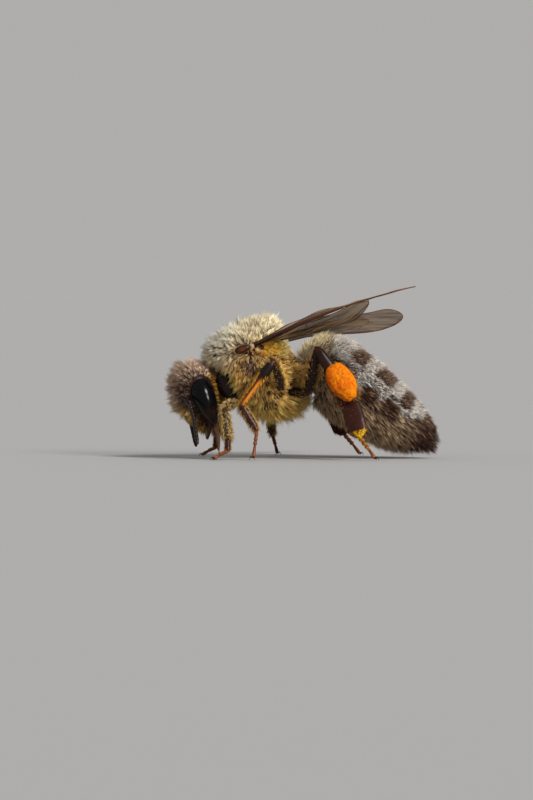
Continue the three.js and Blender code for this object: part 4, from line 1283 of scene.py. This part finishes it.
def coat_thorax():
    def density(t, turn, p, normal):
        bare = near_joint(p) | (HEAD.depth(p) < 0.95) | (PETIOLE.depth(p) < 1.0)
        bare |= (p[..., 0] < -3.2) & (p[..., 2] < 4.3)
        for name in ("fore_left", "fore_right"):
            bare |= beside(p, *LEGS[name][:2]) < 0.58
        bare |= hind_hips(p) < 0.36
        thin = (0.72 + 0.28 * step(5.0, 5.7, p[..., 2])) * (1 - 0.6 * in_patch(p, BALD_SIDE))
        return np.where(bare, 0.0, thin)

    n = share_of(28000)
    t, turn, p, normal = THORAX.scatter(n, density)
    x, z = p[:, 0], p[:, 2]
    height = (z - 4.4) / 2.0
    top = step(0.0, 0.7, height)
    low = step(-0.2, -0.9, height)
    front = step(-3.0, -4.0, x)
    rear = step(-2.0, -0.7, x)
    outwards = np.abs(normal[:, 1])
    flank = (1 - top) * outwards
    lie = leaning(
        normal + jitter(n, 0.22),
        # the upper side's hair fans out from below the wing's root
        (unit((p - [-2.5, 0, 4.9]) * [1, 0, 1]), 0.95 * outwards * step(0.1, 0.4, height)),
        ([-0.3, 0, 0.1], front * top),
        ([-0.3, 0, -0.45], flank * step(-2.2, -3.0, x)),
        ([0.1, 0, -0.6], flank * (1 - rear)),
        ([0.5, 0, 0.25], flank * rear),
        ([0.9, 0, -0.1], low * rear),
    )
    droop = jitter(n, 0.25) + np.array([0.05, 0, -0.12])
    # shorter behind the crest and under the wings, longest low down at the rear
    crest = np.exp(-((x + 1.75) / 0.5) ** 2) * step(0.6, 0.9, height)
    wild = (RNG.random(n) < 0.07) * top
    length = 0.5 + 0.12 * low + 0.1 * crest - 0.22 * top * step(-1.3, -0.9, x) - 0.1 * top * front
    length = (length + 0.26 * low * rear) * vary(n, 0.36) * (1 + 0.3 * wild)
    golden = step(0.45, 0.1, height) * step(-0.75, -0.3, height)
    hollow_gold_and_painted_light, bald = in_patch(p, HOLLOW_GOLD_AND_PAINTED_LIGHT), in_patch(p, BALD_SIDE)
    length *= (1 - 0.5 * hollow_gold_and_painted_light) * (1 - 0.5 * bald)
    length *= 1 - 0.5 * step(1.1, 0.5, hind_hips(p)) * step(2.95, 3.25, z)
    # cropped close above the waist, where the abdomen begins
    length *= 1 - 0.55 * step(-1.0, -0.6, x) * step(4.2, 4.6, z)
    width = 0.0138 * vary(n, 0.25)
    # dark roots, partly painted shade deep in the coat; in the hollow under the wing the roots are bright
    # gold, partly painted light
    root = layered(
        srgb(40, 20, 7),
        (srgb(76, 56, 32), top),
        (srgb(242, 162, 36), hollow_gold_and_painted_light),
        (srgb(70, 48, 40), bald),
    )
    # in the hollow under the wing and low down the tips are golden and also brightened: partly their own
    # colour, partly painted light
    tip = layered(
        srgb(255, 208, 136),
        (srgb(236, 216, 176), top),
        (srgb(255, 186, 96), golden * 0.7),
        (srgb(255, 192, 92), low * 0.75),
        (srgb(255, 244, 216), 0.7 * step(-2.6, -3.6, x) * step(-0.2, 0.4, height)),
        (srgb(255, 224, 104), hollow_gold_and_painted_light),
        (srgb(200, 166, 130), bald),
        (WHITE_HAIR, 0.3 * front * top),
    )
    # painted light: the tips get brighter towards the front and low down, on top of a random variation
    light = 0.92 + 0.3 * noise(p, 1.3, 6) + 0.42 * step(-2.2, -3.2, x) + 0.24 * low
    tip = tip * light[:, None] * vary(n, 0.14)[:, None]
    root = root * vary(n, 0.35)[:, None]
    hair = (p, normal, lie, length, width, droop, root, tip, surface_uv(t, turn))
    coat_in_two("coat_thorax", x < -1.95, hair, "coat", 8, 0.88)


def abdomen_bands(t, turn, p):
    """For the hair of the back: how far up it is, how pale, and how far it belongs to the waist's fringe."""
    up = np.sin(turn)
    patch = 0.25 * between(t, 0.16, 0.192) * step(0.6, 0.7, up) * step(0.98, 0.92, up)
    wobble = 0.022 * (noise(p, 2.6, 8) - 0.5) + 0.012 * (noise(p, 7.0, 9) - 0.5)
    return up, band(t, up, wobble), step(0.215, 0.14, t) * (1 - 0.8 * patch)


def coat_abdomen_upper():
    """Pale felted bands, brown hair between them, and a long cream fringe at the waist. A strip above the
    flank is nearly bare."""
    def density(t, turn, p, normal):
        up, pale, waist = abdomen_bands(t, turn, p)
        strip = step(0.44, 0.49, up) * step(0.62, 0.57, up) * between(t, 0.26, 0.62)
        strip *= 0.25 + 0.5 * noise(p, 5.0, 14) + 0.6 * between(t, 0.5, 0.62)
        dense = 0.35 + 0.65 * pale + 0.3 * waist
        return dense * step(0.34, 0.46, up) * np.clip(1 - strip, 0.03, 1) * step(0.9, 0.8, t)

    n = share_of(20000)
    t, turn, p, normal = ABDOMEN.scatter(n, density)
    up, pale, waist = abdomen_bands(t, turn, p)
    aft = ABDOMEN.aft(t, turn)
    erect = RNG.random(n) < 0.45
    swept = aft * np.where(erect, 0.45, 1.0)[:, None]
    lie = normal * np.where(erect, 1.0, 0.45)[:, None] + swept + jitter(n, 0.2)
    droop = jitter(n, 0.18) + 0.4 * aft
    length = np.where(erect, 0.27, 0.22) * vary(n, 0.3)
    length = length * (1 + 0.6 * step(0.34, 0.2, t) + 0.5 * waist)
    width = np.where(pale > 0.5, 0.0132, 0.011) * vary(n, 0.25)
    # here and there a pale hair among the brown ones
    stray = (RNG.random(n) < 0.22)[:, None] * 0.6
    tip = mix(srgb(106, 78, 60), srgb(214, 207, 198), pale)
    tip *= (1.14 + 0.16 * step(0.38, 0.46, t) - 0.3 * step(0.6, 0.92, up) * pale)[:, None]
    tip = mix(tip, srgb(244, 224, 180), waist)
    tip = tip * (1 - stray) + srgb(196, 176, 152) * stray
    tip = tip * vary(n, 0.2)[:, None]
    # the dark roots are painted shade, the shadow deep in the coat
    root = layered(srgb(30, 17, 12), (PALE_ROOT_IN_PAINTED_SHADE, pale), (srgb(128, 96, 50), waist))
    hair = (p, normal, lie, length, width, droop, root, tip, surface_uv(t, turn))
    coat_in_two("coat_abdomen", t < 0.42, hair, "banded_coat", 5, 0.55)


def coat_abdomen_lower():
    """The flanks, the belly and the tip: longer, thinner hairs swept back, tan over dark patches."""
    def density(t, turn, p, normal):
        up = np.sin(turn)
        patches = between(t + 0.02, 0.36, 0.64, 0.02) * step(-0.05, 0.12, up)
        flank = step(0.46, 0.34, up) * (1 - 0.45 * flank_dark(t, up) * (1 - patches)) * (1 + 1.6 * patches)
        return (flank + 0.5 * step(0.7, 0.78, t) * step(0.2, 0.5, up)) * step(0.03, 0.1, t)

    n = share_of(11500)
    t, turn, p, normal = ABDOMEN.scatter(n, density)
    up = np.sin(turn)
    aft = ABDOMEN.aft(t, turn)
    swept = aft * (0.8 * step(0.03, 0.12, t))[:, None]
    lie = normal * 0.75 + swept + np.array([0, 0, -0.25]) + jitter(n, 0.2)
    length = 0.4 * vary(n, 0.4) * (1 - 0.3 * step(0.8, 1.0, t)) * (1 + 0.6 * step(0.16, 0.05, t))
    dark = flank_dark(t + 0.02, up)
    pale = band(t, up) * step(0.05, 0.2, up)
    length *= 1 - 0.4 * pale
    tip = mix(srgb(196, 148, 102), srgb(240, 212, 174), RNG.random(n))
    brown = np.where(RNG.random(n) < 0.86, dark, 0.2 * dark)
    tip = layered(tip, (srgb(72, 40, 26), brown), (srgb(224, 216, 204), pale)) * vary(n, 0.2)[:, None]
    # the dark roots are painted shade, the shadow deep in the coat
    root = layered(srgb(32, 15, 8), (srgb(24, 10, 6), dark), (PALE_ROOT_IN_PAINTED_SHADE, pale))
    width = 0.0108 * vary(n, 0.25)
    droop = jitter(n, 0.2) + 0.25 * aft
    hair = (p, normal, lie, length, width, droop, root, tip, surface_uv(t, turn))
    coat("coat_abdomen_lower", hair, "banded_coat", 4, 0.6)


# For each part: (tufts, length, half width, how far they stand off, colour, share of them off the edges)
LEG_COATS = {
    "coxa": (200, 0.26, 0.01, 0.7, srgb(176, 132, 74), 0.1),
    "fore_coxa": (60, 0.16, 0.01, 0.8, GOLD, 0.02),
    "femur": (520, 0.3, 0.012, 0.75, srgb(228, 178, 96), 0.12),
    "fore_femur": (700, 0.3, 0.012, 0.8, srgb(224, 188, 124), 0.5),
    "hind_femur": (360, 0.34, 0.011, 0.8, srgb(200, 150, 84), 0.03),
    "mid_tibia": (700, 0.17, 0.012, 0.55, srgb(250, 172, 60), 0.05),
    "fore_tibia": (900, 0.22, 0.012, 0.7, srgb(214, 176, 108), 0.6),
    "hind_tibia": (420, 0.34, 0.011, 0.9, srgb(160, 114, 66), 0.02),
    "basitarsus": (420, 0.13, 0.01, 0.55, srgb(210, 140, 60), 0.25),
    "mid_basitarsus": (560, 0.18, 0.01, 0.7, srgb(214, 168, 100), 0.3),
    "hind_basitarsus": (460, 0.13, 0.009, 0.5, srgb(176, 112, 46), 0.03),
}


def coat_legs():
    for name in LEGS:
        kind = name.split("_")[0]
        rows = []
        for k, (part, limb) in enumerate(leg_limbs(name)):
            count, long, half, stand, tint, even = LEG_COATS.get(f"{kind}_{part}") or LEG_COATS[part]
            n = share_of(count)

            def density(t, turn, p, normal):
                edge = np.abs(np.cos(turn)) ** 4
                brush = 0.9 * (part == "basitarsus") * (np.sin(turn) < 0)
                # the hair ends towards the knee of the mid and hind legs
                covered = 1.0
                if part == "tibia" and kind != "fore":
                    covered = step(0.22, 0.4, t)
                if part == "femur" and kind == "hind":
                    covered = step(0.85, 0.6, t)
                return (even + edge + brush) * covered

            t, turn, p, normal = limb.scatter(n, density, 30, 40)
            lie = normal * stand + limb.along * 0.7 + jitter(n, 0.14)
            length = long * (0.6 + 0.6 * np.abs(np.cos(turn)) ** 2) * vary(n, 0.3)
            tip = np.tile(tint, (n, 1)) * vary(n, 0.2)[:, None]
            width = half * vary(n, 0.25)
            droop = jitter(n, 0.15) + 0.3 * limb.along
            # the roots, at a third of the tip's colour, are painted shade deep in the coat
            root = np.tile(tint * 0.3, (n, 1))
            rows.append((p, normal, lie, length, width, droop, root, tip, surface_uv((k + t) / 4, turn)))
        coat(f"coat_leg_{name}", [np.concatenate(column) for column in zip(*rows)], "shell", 3, 0.4)


# ---- stage and view

FLOOR_HALF = 30.0
FLOOR_GREY = (0.351, 0.3485, 0.3485)
WORLD_GREY = (0.43, 0.42, 0.41)
SUNS = (("key", 2.6, (0.45, -0.62, 0.64)), ("low key", 1.7, (0.5, -0.75, 0.36)))
SUN_WIDTH = math.radians(14)
SUN_COLOUR = (1, 0.985, 0.96)

# The photograph's size and scale in its own pixels, and where the bee frame's origin lies in it
PHOTO_WIDE, PHOTO_HIGH = 533, 800
PIXELS_PER_MM = 21.0
ORIGIN_ACROSS, ORIGIN_DOWN = 300, 459
AIM_DROP = 0.03  # how far below the photograph's middle the camera aims, mm
SENSOR = 36
CAMERA_DISTANCE = 0.3
CAMERA_ELEVATION = math.radians(1.0)


def build_stage():
    grey = bpy.data.materials.new("floor")
    grey.use_nodes = True
    shader = grey.node_tree.nodes["Principled BSDF"]
    shader.inputs["Base Color"].default_value = (*FLOOR_GREY, 1)
    shader.inputs["Roughness"].default_value = 0.9
    mesh = bpy.data.meshes.new("floor")
    r = FLOOR_HALF
    mesh.from_pydata([(-r, -r, 0), (r, -r, 0), (r, r, 0), (-r, r, 0)], [], [(0, 1, 2, 3)])
    mesh.materials.append(grey)
    floor = bpy.data.objects.new("floor", mesh)
    bpy.context.scene.collection.objects.link(floor)


def aim(obj, place, target):
    obj.location = place
    obj.rotation_euler = (Vector(target) - Vector(place)).to_track_quat("-Z", "Y").to_euler()


def build_light():
    world = bpy.data.worlds.new("studio")
    bpy.context.scene.world = world
    world.use_nodes = True
    background = world.node_tree.nodes["Background"]
    background.inputs["Color"].default_value = (*WORLD_GREY, 1)
    background.inputs["Strength"].default_value = 1.0
    for name, energy, place in SUNS:
        data = bpy.data.lights.new(name, "SUN")
        data.energy = energy
        data.angle = SUN_WIDTH
        data.color = SUN_COLOUR
        light = bpy.data.objects.new(name, data)
        bpy.context.scene.collection.objects.link(light)
        aim(light, place, (0, 0, 0))


def build_camera():
    """A camera with the photograph's scale and middle."""
    data = bpy.data.cameras.new("camera")
    data.sensor_fit = "AUTO"
    data.sensor_width = SENSOR
    data.lens = SENSOR * CAMERA_DISTANCE / (PHOTO_HIGH / PIXELS_PER_MM / 1000)
    data.clip_start = 0.005
    data.clip_end = 10
    camera = bpy.data.objects.new("camera", data)
    bpy.context.scene.collection.objects.link(camera)
    across = (PHOTO_WIDE / 2 - ORIGIN_ACROSS) / PIXELS_PER_MM
    up = (ORIGIN_DOWN - PHOTO_HIGH / 2) / PIXELS_PER_MM - AIM_DROP
    target = np.array([across, 0, up]) / 1000 + SHIFT
    back = CAMERA_DISTANCE * math.cos(CAMERA_ELEVATION)
    place = target + [0, -back, CAMERA_DISTANCE * math.sin(CAMERA_ELEVATION)]
    aim(camera, place, target)
    bpy.context.scene.camera = camera


build_skin()
build_abdomen()
build_eyes()
build_antennae()
build_mouth()
build_legs()
build_pollen()
build_dust()
build_wings()
coat_head()
coat_thorax()
coat_abdomen_upper()
coat_abdomen_lower()
coat_legs()
build_stage()
build_light()
build_camera()
bpy.context.scene.view_settings.view_transform = "Standard"
